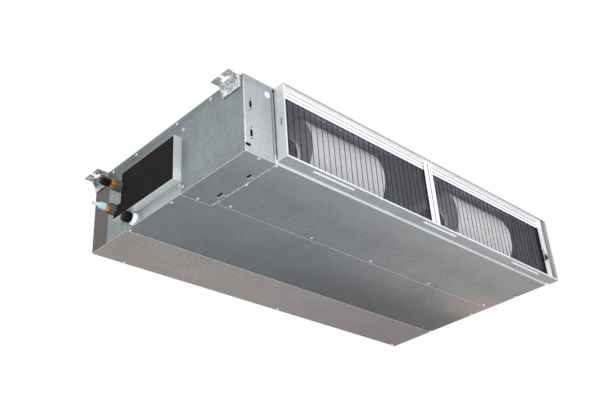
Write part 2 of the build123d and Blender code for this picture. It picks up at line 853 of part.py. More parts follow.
def volute_face(inset, mouth_y):
    """Spiral round the wheel, cut flat under the roof, running out into a straight mouth."""
    stops = (0.0, 90.0 - tongue_angle, 180.0 - tongue_angle, volute_sweep)
    end_y, end_z = volute_point(volute_sweep, inset)
    tongue_y, tongue_z = volute_point(0.0, inset)
    with BuildSketch() as profile:
        with BuildLine():
            for a, b in zip(stops, stops[1:]):
                ThreePointArc(volute_point(a, inset), volute_point((a + b) / 2, inset),
                              volute_point(b, inset))
            Polyline((end_y, end_z), (mouth_y, end_z), (mouth_y, tongue_z), (tongue_y, tongue_z))
        make_face()
        with Locations((axis_y, axis_z + volute_top - inset)):
            Rectangle(body_depth, body_height, align=(Align.CENTER, Align.MIN), mode=Mode.SUBTRACT)
    return profile.sketch


def housing(x0):
    """Whole volute housing from x0, with inlet rings in both cheeks."""
    x1 = x0 + housing_width
    mouth_y = y_coil - housing_wall
    body = prism_x(volute_face(0, mouth_y), x0, x1)
    body -= prism_x(volute_face(housing_wall, y_coil), x0 + housing_wall, x1 - housing_wall)
    top_z = axis_z + volute_top
    low_z = volute_point(0.0, 0)[1]
    flange_top = min(top_z + mouth_flange, z_roof - sheet)
    flange = block(x0 - mouth_flange, x1 + mouth_flange, mouth_y, y_coil - panel_gap,
                   low_z - mouth_flange, flange_top)
    flange -= block(x0 + housing_wall, x1 - housing_wall, mouth_y - 1, y_coil + 1,
                    low_z + housing_wall, top_z - housing_wall)
    body += flange
    ring_r = wheel_r - inlet_ring_overlap
    for face, way in ((x0, -1), (x1, 1)):
        ends = sorted((face - way * housing_wall, face + way * inlet_ring_height))
        body += rod_x(ends[0], ends[1], axis_y, axis_z, ring_r + housing_wall)
    body -= rod_x(x0 - 2 * inlet_ring_height, x1 + 2 * inlet_ring_height, axis_y, axis_z, ring_r)
    return body


def housing_half(x0, upper):
    """Upper or lower moulding of a housing, parted at the shaft's height."""
    whole = housing(x0)
    reach = housing_width
    z0, z1 = (axis_z, body_height) if upper else (0, axis_z)
    return whole & block(x0 - reach, x0 + 2 * reach, y_in, y_out, z0, z1)


def blade_face():
    """Section of one forward-curved blade, at the top of the wheel."""
    outer = wheel_r - 0.5
    inner = wheel_r - blade_depth
    lean = 0.42 * blade_depth
    bow = 0.16 * blade_depth
    t = blade_thickness
    with BuildSketch() as section:
        with BuildLine():
            ThreePointArc((0, inner), (lean / 2 - bow, (inner + outer) / 2), (lean, outer - bow))
            Line((lean, outer - bow), (lean + t, outer - bow))
            ThreePointArc((lean + t, outer - bow), (lean / 2 - bow + t, (inner + outer) / 2), (t, inner))
            Line((t, inner), (0, inner))
        make_face()
    return section.sketch


def fan_wheel(housing_x):
    """Double-inlet wheel: middle disc with its hub, two rings and the blades."""
    x0 = housing_x + wheel_side_clearance
    x1 = housing_x + housing_width - wheel_side_clearance
    middle = (x0 + x1) / 2
    body = rod_x(middle - wheel_disc / 2, middle + wheel_disc / 2, axis_y, axis_z, wheel_r)
    body += rod_x(middle - hub_length / 2, middle + hub_length / 2, axis_y, axis_z, hub_r)
    for ring_x in (x0, x1 - wheel_ring):
        ring = rod_x(ring_x, ring_x + wheel_ring, axis_y, axis_z, wheel_r)
        body += ring - rod_x(ring_x - 1, ring_x + wheel_ring + 1, axis_y, axis_z,
                             wheel_r - blade_depth * 0.6)
    section = blade_face()
    blade = prism_x(section, x0, x1)
    blades = []
    for i in range(blade_count):
        blades.append(Pos(0, axis_y, axis_z) * Rot(360.0 * i / blade_count, 0, 0) * blade)
    body += blades
    return body - rod_x(x0, x1, axis_y, axis_z, shaft_r)


def shaft_ends():
    """The shaft runs through both hubs and a little past them."""
    left_hub = left_housing_x + housing_width / 2
    right_hub = right_housing_x + housing_width / 2
    return left_hub - hub_length / 2 - shaft_end, right_hub + hub_length / 2 + shaft_end


def motor_shaft():
    """One steel shaft, out of both ends of the motor."""
    x0, x1 = shaft_ends()
    return rod_x(x0, x1, axis_y, axis_z, shaft_r)


def motor():
    """Motor case: ribbed drum, end bells and bearing bosses, bored for the shaft."""
    half = motor_length / 2
    body = rod_x(motor_x - half, motor_x + half, axis_y, axis_z, motor_r)
    drum = fillet(body.edges().filter_by(GeomType.CIRCLE), 8.0)
    boss = rod_x(motor_x - half - motor_boss_length, motor_x + half + motor_boss_length,
                 axis_y, axis_z, motor_boss_r)
    drum += boss
    return drum - rod_x(motor_x - motor_bay, motor_x + motor_bay, axis_y, axis_z,
                        shaft_r + bearing_clearance)


def motor_bracket():
    """Cradle: a foot on the bottom panel and two uprights with half-round seats."""
    foot_x = cradle_spacing / 2 + cradle_foot
    body = block(motor_x - foot_x, motor_x + foot_x, axis_y - cradle_width / 2,
                 axis_y + cradle_width / 2, sheet, sheet + cradle_sheet)
    for x in (motor_x - cradle_spacing / 2, motor_x + cradle_spacing / 2):
        body += block(x - cradle_sheet / 2, x + cradle_sheet / 2, axis_y - motor_r - strap_ear,
                      axis_y + motor_r + strap_ear, sheet, axis_z)
        for side in (-1, 1):
            ear = sorted((axis_y + side * (motor_r + 1), axis_y + side * (motor_r + strap_ear)))
            body += block(x - strap_width / 2, x + strap_width / 2, ear[0], ear[1],
                          axis_z - cradle_sheet, axis_z)
    return body - rod_x(motor_x - foot_x, motor_x + foot_x, axis_y, axis_z, motor_r + 0.1)


def motor_straps():
    """Two steel bands over the motor, bolted to the cradle's ears."""
    straps = []
    for x in (motor_x - cradle_spacing / 2, motor_x + cradle_spacing / 2):
        outer = motor_r + 0.1 + strap_sheet
        band = rod_x(x - strap_width / 2, x + strap_width / 2, axis_y, axis_z, outer)
        band &= block(x - strap_width, x + strap_width, axis_y - 2 * outer, axis_y + 2 * outer,
                      axis_z, axis_z + 2 * outer)
        band += block(x - strap_width / 2, x + strap_width / 2, axis_y - motor_r - strap_ear,
                      axis_y + motor_r + strap_ear, axis_z, axis_z + strap_sheet)
        band -= rod_x(x - strap_width, x + strap_width, axis_y, axis_z, motor_r + 0.1)
        straps.append(band)
    return Compound(children=straps)


def discharge_opening(x0):
    """Where a housing's mouth opens through the partition."""
    top_z = axis_z + volute_top - housing_wall
    low_z = volute_point(0.0, housing_wall)[1]
    return block(x0 + housing_wall, x0 + housing_width - housing_wall, y_coil - sheet,
                 y_coil + 3 * sheet, low_z, top_z)


def fan_partition():
    """Upright sheet between the fans and the coil, open at both mouths, on a foot flange."""
    x0 = x_ebox + panel_gap
    x1 = x_side_far - sheet - seam_flange - panel_gap
    body = block(x0, x1, y_coil - panel_gap, y_coil + sheet - panel_gap, sheet, z_roof)
    body += block(x0, x1, y_coil - foot_flange, y_coil - panel_gap, sheet, 2 * sheet)
    body -= discharge_opening(left_housing_x)
    body -= discharge_opening(right_housing_x)
    return drilled(body)


def on_coil(x, along, across):
    """A place on the slanted coil: along its slope from the middle, across its thickness."""
    tilt = radians(coil_tilt)
    y = coil_mid_y + along * cos(tilt) + across * sin(tilt)
    z = coil_mid_z - along * sin(tilt) + across * cos(tilt)
    return x, y, z


def coil_slab(x0, x1, border):
    """A slanted block with the coil's section."""
    size = Box(x1 - x0, coil_length + 2 * border, coil_thickness + 2 * border)
    return Pos((x0 + x1) / 2, coil_mid_y, coil_mid_z) * Rot(-coil_tilt, 0, 0) * size


def evaporator_fins():
    """The pack of aluminium fins on its tubes."""
    return coil_slab(coil_x0 + coil_plate, coil_x1 - coil_plate, 0)


def coil_end_plate(x0):
    """Galvanised plate at one end of the fins, with a foot in the pan and a tab to the roof."""
    x1 = x0 + coil_plate
    tilt = radians(coil_tilt)
    body = coil_slab(x0, x1, coil_plate_border)
    foot_y = coil_foot_y - coil_plate_tab
    head_y = coil_top_y + coil_plate_tab * cos(tilt)
    body += block(x0, x1, foot_y - coil_plate_tab / 2, foot_y + coil_plate_tab / 2, pan_floor, coil_foot_z)
    body += block(x0, x1, head_y - coil_plate_tab / 2, head_y + coil_plate_tab / 2, coil_top_z,
                  z_roof - insulation)
    return body


def return_bend(x, way, along, across):
    """One hairpin bend between two tube ends, standing out of an end plate."""
    _, y0, z0 = on_coil(x, along, across)
    _, y1, z1 = on_coil(x, along + tube_pitch, across)
    crown_x = x + way * bend_leg
    top_x = crown_x + way * tube_pitch / 2
    with BuildLine() as route:
        Line((x, y0, z0), (crown_x, y0, z0))
        ThreePointArc((crown_x, y0, z0), (top_x, (y0 + y1) / 2, (z0 + z1) / 2), (crown_x, y1, z1))
        Line((crown_x, y1, z1), (x, y1, z1))
    start = Plane(origin=(x, y0, z0), z_dir=(way, 0, 0))
    return sweep(start * Circle(tube_r), path=route.wire())


def return_bends():
    """Hairpin bends in two rows at the far end and one row at the pipe end."""
    bends = []
    row = coil_thickness / 4
    count = int((coil_length / 2 - tube_pitch / 2) // tube_pitch)
    for i in range(-count, count, 2):
        for across in (-row, row):
            bends.append(return_bend(coil_x1, 1, i * tube_pitch, across))
    for i in range(-count + 1, count - 1, 2):
        bends.append(return_bend(coil_x0, -1, i * tube_pitch, -row))
    return Compound(children=bends)


def gas_pipe():
    """Suction header along the coil's slope, its stubs and the thick pipe out of the casing."""
    across = coil_thickness / 4
    header_x = coil_x0 - header_standoff - header_r
    half_span = coil_length * header_share
    _, top_y, top_z = on_coil(header_x, -half_span, across)
    _, foot_y, foot_z = on_coil(header_x, half_span, across)
    axis = Vector(0, foot_y - top_y, foot_z - top_z)
    plane = Plane(origin=(header_x, top_y, top_z), z_dir=axis)
    body = plane.location * Cylinder(header_r, axis.length, align=(Align.CENTER, Align.CENTER, Align.MIN))
    for along in evenly(-half_span * 0.85, half_span * 0.85, header_stub_count):
        _, y, z = on_coil(header_x, along, across)
        body += rod_x(header_x, coil_x0, y, z, header_stub_r)
    _, mid_y, mid_z = on_coil(header_x, 0, across)
    end_x = box_face_x - grommet_proud - gas_nut_length
    with BuildLine() as route:
        FilletPolyline((header_x, mid_y, mid_z), (header_x, gas_y, gas_pipe_height),
                       (end_x, gas_y, gas_pipe_height), radius=pipe_bend_r)
    start = Plane(origin=(header_x, mid_y, mid_z), z_dir=(0, gas_y - mid_y, gas_pipe_height - mid_z))
    return body + sweep(start * Circle(gas_pipe_r), path=route.wire())


def liquid_pipe():
    """Thin pipe in from the casing to a distributor with three capillaries into the coil."""
    y = coil_foot_y - distributor_setback / 4
    z = coil_foot_z + distributor_rise
    x1 = coil_x0 - distributor_standoff
    x0 = x1 - distributor_length
    bend_x = x0 - liquid_bend_r
    end_x = box_face_x - liquid_proud - liquid_nut_length
    body = rod_x(x0, x1, y, z, distributor_r)
    for turn in (90, 210, 330):
        place_y = y + distributor_r * 0.55 * cos(radians(turn))
        place_z = z + distributor_r * 0.55 * sin(radians(turn))
        body += rod_x(x1, coil_x0, place_y, place_z, capillary_r)
    with BuildLine() as route:
        FilletPolyline((x0 + 1, y, z), (bend_x, y, z), (bend_x, liquid_y, liquid_pipe_height),
                       (end_x, liquid_y, liquid_pipe_height), radius=liquid_bend_r)
    start = Plane(origin=(x0 + 1, y, z), z_dir=(-1, 0, 0))
    return body + sweep(start * Circle(liquid_pipe_r), path=route.wire())


def hex_nut(x0, x1, y, z, flats, bore):
    """A hexagon along X with a bore and chamfered outer corners."""
    prism = Pos(x0, y, z) * extrude(Plane.YZ * RegularPolygon(flats / 2, 6, major_radius=False), x1 - x0)
    rounded = prism & rod_x(x0, x1, y, z, flats * 0.545)
    return rounded - rod_x(x0 - 1, x1 + 1, y, z, bore)


def gas_nut():
    """Brass flare nut of the thick pipe."""
    x1 = box_face_x - grommet_proud - nut_gap
    return hex_nut(x1 - gas_nut_length, x1, gas_y, gas_pipe_height, gas_nut_flats,
                   gas_pipe_r + grommet_clearance)


def liquid_nut():
    """Brass flare nut of the thin pipe."""
    x1 = box_face_x - liquid_proud - nut_gap
    return hex_nut(x1 - liquid_nut_length, x1, liquid_y, liquid_pipe_height, liquid_nut_flats,
                   liquid_pipe_r + grommet_clearance)


def gas_cap():
    """Dark transit cap, a cup over the end of the thick pipe's nut."""
    x1 = box_face_x - grommet_proud - nut_gap - gas_nut_length
    body = rod_x(x1 - gas_cap_length, x1, gas_y, gas_pipe_height, gas_cap_r)
    body = chamfer(body.edges().filter_by(GeomType.CIRCLE).sort_by(Axis.X)[0], 4.0)
    return body - rod_x(x1 - gas_cap_length / 2, x1 + 1, gas_y, gas_pipe_height, gas_cap_r - cap_wall)


def liquid_cap():
    """Pale blue transit cap, a cup with a narrow nose over the thin pipe's nut."""
    x1 = box_face_x - liquid_proud - nut_gap - liquid_nut_length
    x0 = x1 - liquid_cap_length
    body = rod_x(x0, x1, liquid_y, liquid_pipe_height, liquid_cap_r)
    body = chamfer(body.edges().filter_by(GeomType.CIRCLE).sort_by(Axis.X)[0], 4.0)
    nose = Pos(x0 - liquid_cap_tip / 2, liquid_y, liquid_pipe_height) * Rot(0, -90, 0)
    body += nose * Cone(liquid_cap_r * 0.56, liquid_cap_r * 0.42, liquid_cap_tip)
    return body - rod_x(x1 - liquid_cap_length / 2, x1 + 1, liquid_y, liquid_pipe_height,
                        liquid_cap_r - cap_wall)


def pipe_grommets():
    """Rubber sleeves that seal both pipes in the cover's notches."""
    sleeves = []
    for y, z, radius, pipe_r, proud in (
            (gas_y, gas_pipe_height, gas_grommet_r, gas_pipe_r, grommet_proud),
            (liquid_y, liquid_pipe_height, liquid_grommet_r, liquid_pipe_r, liquid_proud)):
        sleeve = rod_x(box_face_x - proud, x_side_pipe + 2 * sheet, y, z, radius)
        sleeves.append(sleeve - rod_x(box_face_x - 2 * proud, x_pipe + 2 * seam_flange, y, z,
                                      pipe_r + grommet_clearance))
    return Compound(children=sleeves)


def drain_pan():
    """Moulded foam pan under the coil, bored for the drain socket."""
    x0 = x_side_pipe + sheet + seam_flange + pan_clearance
    x1 = x_side_far - sheet - seam_flange - pan_clearance
    y0 = y_seam + pan_clearance + 2 * sheet
    y1 = y_coil_end - pan_clearance - panel_gap
    body = block(x0, x1, y0, y1, sheet, pan_rim)
    body -= block(x0 + pan_wall, x1 - pan_wall, y0 + pan_wall, y1 - pan_wall, pan_floor, pan_rim + 1)
    return body - rod_x(x0 - 1, x0 + 2 * pan_wall, drain_y, drain_height, drain_pipe_r + drain_fit)


def drain_socket():
    """White drain outlet: flange and collar outside, pipe into the pan's wall."""
    inner = x_side_pipe + sheet + seam_flange + pan_clearance + pan_wall
    body = rod_x(x_pipe - drain_pipe_proud, inner, drain_y, drain_height, drain_pipe_r)
    body += rod_x(x_side_pipe - drain_flange, x_side_pipe, drain_y, drain_height, drain_flange_r)
    body += rod_x(x_side_pipe - drain_collar_length, x_side_pipe, drain_y, drain_height, drain_collar_r)
    body -= rod_x(x_pipe - drain_pipe_proud - 1, inner + 1, drain_y, drain_height, drain_bore_r)
    return body


def drain_cap():
    """Black rubber cap on the drain pipe, ribbed for grip."""
    x1 = x_side_pipe - drain_collar_length - nut_gap
    x0 = x1 - drain_cap_length
    body = rod_x(x0, x1, drain_y, drain_height, drain_cap_r - 1)
    ribs = []
    for i in range(drain_cap_ribs):
        angle = 2 * 180.0 * i / drain_cap_ribs
        rib = Pos(0, drain_y, drain_height) * Rot(angle, 0, 0)
        ribs.append(rib * block(x0 + 3, x1, -1.2, 1.2, drain_cap_r - 3, drain_cap_r))
    body += ribs
    body -= rod_x(x_pipe - drain_pipe_proud - drain_fit, x1 + 1, drain_y, drain_height,
                  drain_pipe_r + drain_fit)
    return body


def top_insulation():
    """Black closed-cell foam under the top panel, from the partition to the outlet."""
    x0 = x_side_pipe + sheet + seam_flange
    y0 = y_coil + 2 * sheet
    body = block(x0, x_side_far - sheet - seam_flange, y0, y_out - 2 * sheet, z_roof - insulation, z_roof)
    return body - block(x0 - 1, x_ebox + sheet, y0 - 1, y_seam + 2 * sheet, z_roof - 2 * insulation, z_roof)


def hanger(x_face, way, y):
    """Hanger bracket: slotted ear at the top, leg down the end face, two stiffening ribs."""
    def along_x(a, b):
        return sorted((x_face + way * a, x_face + way * b))

    half = hanger_width / 2
    top = body_height
    plate_x = along_x(0, hanger_reach)
    body = block(plate_x[0], plate_x[1], y - half, y + half, top - hanger_plate, top)
    leg_x = along_x(0, hanger_plate)
    body += block(leg_x[0], leg_x[1], y - half, y + half, top - hanger_leg, top)
    for side in (-1, 1):
        rib_y = sorted((y + side * half, y + side * (half - hanger_rib)))
        rib_x = along_x(0, hanger_plate + hanger_rib_reach)
        foot = Plane.XZ.offset(-rib_y[0])
        with BuildSketch(foot) as rib:
            with BuildLine():
                Polyline((x_face, top - hanger_leg + hanger_rib_reach), (x_face, top),
                         (x_face + way * (hanger_plate + hanger_rib_reach), top),
                         (x_face + way * hanger_plate, top - hanger_leg + hanger_rib_reach), close=True)
            make_face()
        body += extrude(rib.sketch, -(rib_y[1] - rib_y[0]))
    slot_x = x_face + way * hanger_slot_from_side
    slot = Pos(slot_x, y, top - 2 * hanger_plate) * Rot(0, 0, 90)
    body -= slot * extrude(SlotOverall(hanger_slot_length, hanger_slot_width), 3 * hanger_plate)
    mouth_x = along_x(hanger_slot_from_side, hanger_reach + 1)
    body -= block(mouth_x[0], mouth_x[1], y - hanger_mouth / 2, y + hanger_mouth / 2,
                  top - 2 * hanger_plate, top + 1)
    return drilled(body)


def air_sensor():
    """Return air sensor: a lead out of the far jamb and a bulb that hangs in the inlet."""
    x = jamb_x - sensor_standoff
    y0 = guide_y - 2 * sensor_lead_r
    y1 = y0 - sensor_forward
    z_low = sensor_height - sensor_drop
    corners = [(jamb_x, y0, sensor_height), (x, y0, sensor_height), (x, y1, sensor_height - 4),
               (x, y1, z_low)]
    with BuildLine() as route:
        FilletPolyline(*corners, radius=sensor_bend_r)
    lead = sweep(Plane(origin=corners[0], z_dir=(-1, 0, 0)) * Circle(sensor_lead_r), path=route.wire())
    bulb = rod_z(x, y1, z_low - sensor_bulb_length, z_low, sensor_bulb_r)
    bulb = fillet(bulb.edges().filter_by(GeomType.CIRCLE), 1.8)
    z_clip = z_low - sensor_bulb_length / 2
    clip = block(x, jamb_x, y1 - sensor_bulb_r, y1 + sensor_bulb_r, z_clip - 2, z_clip + 2)
    return lead + bulb + clip


def screw_group(places):
    """Identical washer-head screws."""
    return Compound(children=[one_screw(point, way) for point, way in places])


def build_nodes():
    """Every piece by name."""
    nodes = {
        "top_panel": top_panel(),
        "ebox_side_panel": ebox_side_panel(),
        "coil_end_panel_pipe_side": coil_end_panel_pipe_side(),
        "fan_end_panel_far_side": fan_end_panel_far_side(),
        "coil_end_panel_far_side": coil_end_panel_far_side(),
        "ebox_bottom_plate": ebox_bottom_plate(),
        "fan_bottom_panel": fan_bottom_panel(),
        "coil_bottom_panel": coil_bottom_panel(),
        "outlet_bottom_panel": outlet_bottom_panel(),
        "outlet_face_panel": outlet_face_panel(),
        "outlet_collar": outlet_collar_frame(),
        "inlet_frame_top": inlet_frame_top(),
        "inlet_frame_bottom": inlet_frame_bottom(),
        "inlet_frame_left": inlet_frame_left(),
        "inlet_frame_right": inlet_frame_right(),
        "inlet_mullion": inlet_mullion(),
        "ebox_cover": ebox_cover(),
        "ebox_case": ebox_case(),
        "circuit_board": circuit_board(),
        "terminal_block": terminal_block(),
        "run_capacitor": run_capacitor(),
        "fan_partition": fan_partition(),
        "left_fan_wheel": fan_wheel(left_housing_x),
        "right_fan_wheel": fan_wheel(right_housing_x),
        "motor": motor(),
        "motor_shaft": motor_shaft(),
        "motor_bracket": motor_bracket(),
        "motor_straps": motor_straps(),
        "evaporator_fins": evaporator_fins(),
        "coil_plate_pipe_side": coil_end_plate(coil_x0),
        "coil_plate_far_side": coil_end_plate(coil_x1 - coil_plate),
        "return_bends": return_bends(),
        "gas_pipe": gas_pipe(),
        "liquid_pipe": liquid_pipe(),
        "gas_nut": gas_nut(),
        "liquid_nut": liquid_nut(),
        "gas_cap": gas_cap(),
        "liquid_cap": liquid_cap(),
        "pipe_grommets": pipe_grommets(),
        "pipe_cover_tray": pipe_cover_tray(),
        "pipe_cover_foam": pipe_cover_foam(),
        "drain_pan": drain_pan(),
        "drain_socket": drain_socket(),
        "drain_cap": drain_cap(),
        "top_insulation": top_insulation(),
        "air_sensor": air_sensor(),
        "bottom_screws": screw_group(bottom_screws),
        "casing_screws": screw_group(other_screws),
    }
    for name, x0 in (("left", left_housing_x), ("right", right_housing_x)):
        nodes[name + "_housing_upper"] = housing_half(x0, True)
        nodes[name + "_housing_lower"] = housing_half(x0, False)
        nodes[name + "_filter_frame"] = filter_frame(name)
        nodes[name + "_filter_net"] = filter_net(name)
    for end, x_face, way in (("pipe_end", x_pipe, -1), ("far_end", x_far, 1)):
        nodes["hanger_inlet_" + end] = hanger(x_face, way, y_in + hanger_from_inlet)
        nodes["hanger_outlet_" + end] = hanger(x_face, way, y_out - hanger_from_outlet)
    return nodes


os.makedirs("parts", exist_ok=True)
for node, shape in build_nodes().items():
    shape.label = node
    export_step(shape, "parts/" + node + ".step")
    print(node)
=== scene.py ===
from math import cos, pi, radians

import bmesh
import bpy
from mathutils import Matrix, Vector


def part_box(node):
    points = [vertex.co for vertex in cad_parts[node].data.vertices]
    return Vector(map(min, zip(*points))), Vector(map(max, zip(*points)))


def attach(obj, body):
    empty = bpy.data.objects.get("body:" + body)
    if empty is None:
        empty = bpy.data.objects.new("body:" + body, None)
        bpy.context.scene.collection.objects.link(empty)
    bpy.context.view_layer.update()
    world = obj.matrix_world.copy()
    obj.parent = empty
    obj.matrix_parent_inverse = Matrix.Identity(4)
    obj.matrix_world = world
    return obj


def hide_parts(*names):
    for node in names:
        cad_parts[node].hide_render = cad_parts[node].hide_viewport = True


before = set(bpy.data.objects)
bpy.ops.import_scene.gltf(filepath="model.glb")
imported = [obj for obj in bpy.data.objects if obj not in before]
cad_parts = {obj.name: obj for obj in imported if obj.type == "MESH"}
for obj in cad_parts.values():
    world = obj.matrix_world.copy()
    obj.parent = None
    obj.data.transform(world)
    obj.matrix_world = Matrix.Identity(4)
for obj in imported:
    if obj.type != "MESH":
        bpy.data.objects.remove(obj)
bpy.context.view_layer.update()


# Casing sheets: cold-rolled steel, hot-dip galvanised, sheared, punched and folded on a
# press brake, then screwed together. The zinc freezes in flat crystals. Folds are rounded
# where the punch pressed them, and the top panel has a low hem over the pipe end.

def linear(hex_colour):
    """An sRGB hex colour as the linear RGBA that shader sockets take."""
    parts = [int(hex_colour[i:i + 2], 16) / 255 for i in (1, 3, 5)]
    return [p / 12.92 if p <= 0.04045 else ((p + 0.055) / 1.055) ** 2.4 for p in parts] + [1.0]


def add(tree, kind, inputs=None, **settings):
    """Add one node. Settings are its properties; inputs are socket values or links."""
    node = tree.nodes.new(kind)
    for name, value in settings.items():
        setattr(node, name, value)
    for key, value in (inputs or {}).items():
        if isinstance(value, bpy.types.NodeSocket):
            tree.links.new(value, node.inputs[key])
        else:
            node.inputs[key].default_value = value
    return node


def blank_material(name):
    """A new material with an empty node tree, and its Object coordinates."""
    material = bpy.data.materials.new(name)
    material.use_nodes = True
    tree = material.node_tree
    tree.nodes.clear()
    place = add(tree, "ShaderNodeTexCoord").outputs["Object"]
    return material, tree, place


def closed_tree(tree, shader):
    """Send the shader to the material's output."""
    add(tree, "ShaderNodeOutputMaterial", {"Surface": shader.outputs[0]})


def blend(tree, share, dark, light):
    """The colour that lies at a share of the way from dark to light."""
    return add(tree, "ShaderNodeMix", {"Factor": share, 6: dark, 7: light}, data_type="RGBA").outputs[2]


def galvanised_steel(name, dull, bright, spangle=0.009, contrast=0.14, roughness=0.42,
                     metallic=0.85, streaks=2, painted_light_and_tint_drifts=()):
    """Zinc crystals about 9 mm across, soft streaks from the mill, smudges from handling.

    The fine grain is 3.5 mm, streaks are 22 mm wide and 0.5 m long, smudges 160 mm and the
    sheet's waviness 300 mm. They give a cool grey patchwork with a soft, slightly bent shine.
    Each drift is a tint, mostly painted light or shade and for the pipe end's outlet strip the sheet's own
    tone, how strong it is, and the spans (axis, start, end) over which it comes in."""
    material, tree, place = blank_material(name)
    crystals = add(tree, "ShaderNodeTexVoronoi", {"Vector": place, "Scale": 1 / spangle})
    grain = add(tree, "ShaderNodeTexNoise", {"Vector": place, "Scale": 1 / 0.0035, "Detail": 3.0})
    smudge = add(tree, "ShaderNodeTexNoise", {"Vector": place, "Scale": 1 / 0.16, "Detail": 4.0,
                                              "Roughness": 0.55})
    along = [1 / 0.5 if i == streaks else 1 / 0.022 for i in range(3)]
    drawn = add(tree, "ShaderNodeMapping", {"Vector": place, "Scale": along})
    streak = add(tree, "ShaderNodeTexNoise", {"Vector": drawn.outputs[0], "Scale": 1.0, "Detail": 3.0})
    one = add(tree, "ShaderNodeSeparateColor", {"Color": crystals.outputs["Color"]})
    mixed = add(tree, "ShaderNodeMath", {0: one.outputs[0], 1: contrast, 2: 0.5 - contrast / 2},
                operation="MULTIPLY_ADD")
    fine = add(tree, "ShaderNodeMath", {0: grain.outputs["Fac"], 1: 0.20, 2: mixed.outputs[0]},
               operation="MULTIPLY_ADD")
    lined = add(tree, "ShaderNodeMath", {0: streak.outputs["Fac"], 1: 0.16, 2: fine.outputs[0]},
                operation="MULTIPLY_ADD")
    broad = add(tree, "ShaderNodeMath", {0: smudge.outputs["Fac"], 1: 0.40, 2: lined.outputs[0]},
                operation="MULTIPLY_ADD")
    dullest, brightest = 0.63, 1.13
    spread = add(tree, "ShaderNodeMapRange", {"Value": broad.outputs[0], "From Min": dullest,
                                              "From Max": brightest})
    colour = blend(tree, spread.outputs[0], linear(dull), linear(bright))
    cut = add(tree, "ShaderNodeSeparateXYZ", {"Vector": place})
    for tint, share, *spans in painted_light_and_tint_drifts:
        reach = None
        for axis, start, end in spans:
            step = add(tree, "ShaderNodeMapRange", {"Value": cut.outputs[axis], "From Min": start,
                                                    "From Max": end, "To Max": 1.0 if reach else share},
                       interpolation_type="SMOOTHSTEP")
            reach = add(tree, "ShaderNodeMath", {0: step.outputs[0], 1: reach.outputs[0]},
                        operation="MULTIPLY") if reach else step
        colour = blend(tree, reach.outputs[0], colour, linear(tint))
    rough = add(tree, "ShaderNodeMapRange", {"Value": broad.outputs[0], "From Min": dullest,
                                             "From Max": brightest, "To Min": roughness + 0.08,
                                             "To Max": roughness - 0.06})
    wave = add(tree, "ShaderNodeTexNoise", {"Vector": place, "Scale": 1 / 0.30, "Detail": 1.0})
    relief = add(tree, "ShaderNodeMath", {0: one.outputs[0], 1: 0.01, 2: wave.outputs["Fac"]},
                 operation="MULTIPLY_ADD")
    bump = add(tree, "ShaderNodeBump", {"Height": relief.outputs[0], "Distance": 0.004, "Strength": 0.5})
    shader = add(tree, "ShaderNodeBsdfPrincipled", {"Base Color": colour, "Metallic": metallic,
                                                    "Roughness": rough.outputs[0], "Normal": bump.outputs[0]})
    closed_tree(tree, shader)
    return material


def dressed(name, shape, materials, body, nodes=(), smooth_below=35.0):
    """Make an object from a bmesh, shade its curves smooth, and fit it to the frame."""
    for edge in shape.edges:
        if len(edge.link_faces) == 2 and edge.calc_face_angle(pi) > radians(smooth_below):
            edge.smooth = False
    mesh = bpy.data.meshes.new(name)
    shape.to_mesh(mesh)
    shape.free()
    for material in materials:
        mesh.materials.append(material)
    piece = bpy.data.objects.new(name, mesh)
    bpy.context.scene.collection.objects.link(piece)
    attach(piece, body)
    if nodes:
        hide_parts(*nodes)


def eased_block(shape, place, size, ease, segments=2):
    """Add a block of a size at a place (a matrix), with all its edges eased."""
    made = set(bmesh.ops.create_cube(shape, size=1.0, matrix=place @ Matrix.Diagonal((*size, 1)))["verts"])
    edges = [edge for edge in shape.edges if edge.verts[0] in made]
    bmesh.ops.bevel(shape, geom=edges, offset=ease, segments=segments, profile=0.5, affect="EDGES",
                    material=-1)


def merged_copy(node):
    """The CAD node's mesh as a bmesh with its loose triangles joined into faces."""
    shape = bmesh.new()
    shape.from_mesh(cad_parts[node].data)
    bmesh.ops.remove_doubles(shape, verts=shape.verts, dist=2e-6)
    bmesh.ops.dissolve_limit(shape, angle_limit=radians(0.5), verts=shape.verts, edges=shape.edges)
    for face in shape.faces:
        face.smooth = True
    return shape


def dressed_copy(name, node, material, body="casing"):
    """Dress a CAD node in its own shape and one material."""
    dressed(name, merged_copy(node), (material,), body, (node,))


def only(kind, made):
    """The parts of one kind among all that an operator made."""
    return [item for item in made if isinstance(item, kind)]


any_width = 9.0
widest_cut = 0.0016
narrowest_cut = 0.0008
shortest_fold = 0.008


def wide(face):
    """How wide a face is: its area over its longest side."""
    return face.calc_area() / max(side.calc_length() for side in face.edges)


def sheared(face):
    """Whether a face is the cut edge of a sheet: narrow, with a corner along its length."""
    longest = max(face.edges, key=lambda side: side.calc_length())
    return wide(face) < widest_cut and longest.calc_face_angle(0.0) > radians(45)


def folded(node, materials, radius, body="casing", least=0.003, rim=0.0,
           pick=None, beads=()):
    """A sheet with rounded folds. The fold and the sheared edge take the last material, in most uses a
    painted highlight or painted fold shade.

    Folds lie between faces wider than the least, rims beside narrower ones. Pick gives each
    face its material, and beads are lines rolled in the sheet."""
    shape = merged_copy(node)
    bright = len(materials) - 1
    for face in shape.faces:
        face.smooth = False
        if pick:
            face.material_index = pick(face)
        if sheared(face):
            face.material_index = bright
    for bead in beads:
        roll_bead(shape, *bead)
    for offset, low, high in ((radius, least, any_width), (rim, narrowest_cut, least)):
        folds = []
        for edge in shape.edges:
            if not offset or len(edge.link_faces) != 2 or edge.calc_length() < shortest_fold:
                continue
            if edge.calc_face_angle_signed(0.0) < radians(60):
                continue
            narrow, broad = sorted(wide(face) for face in edge.link_faces)
            if low <= narrow < high and broad > least:
                folds.append(edge)
        if folds:
            made = bmesh.ops.bevel(shape, geom=folds, offset=offset, segments=3, profile=0.5,
                                   affect="EDGES", clamp_overlap=True, material=-1)
            for face in made["faces"]:
                face.material_index = bright
                face.smooth = True
    dressed(node + "_sheet", shape, materials, body, (node,))


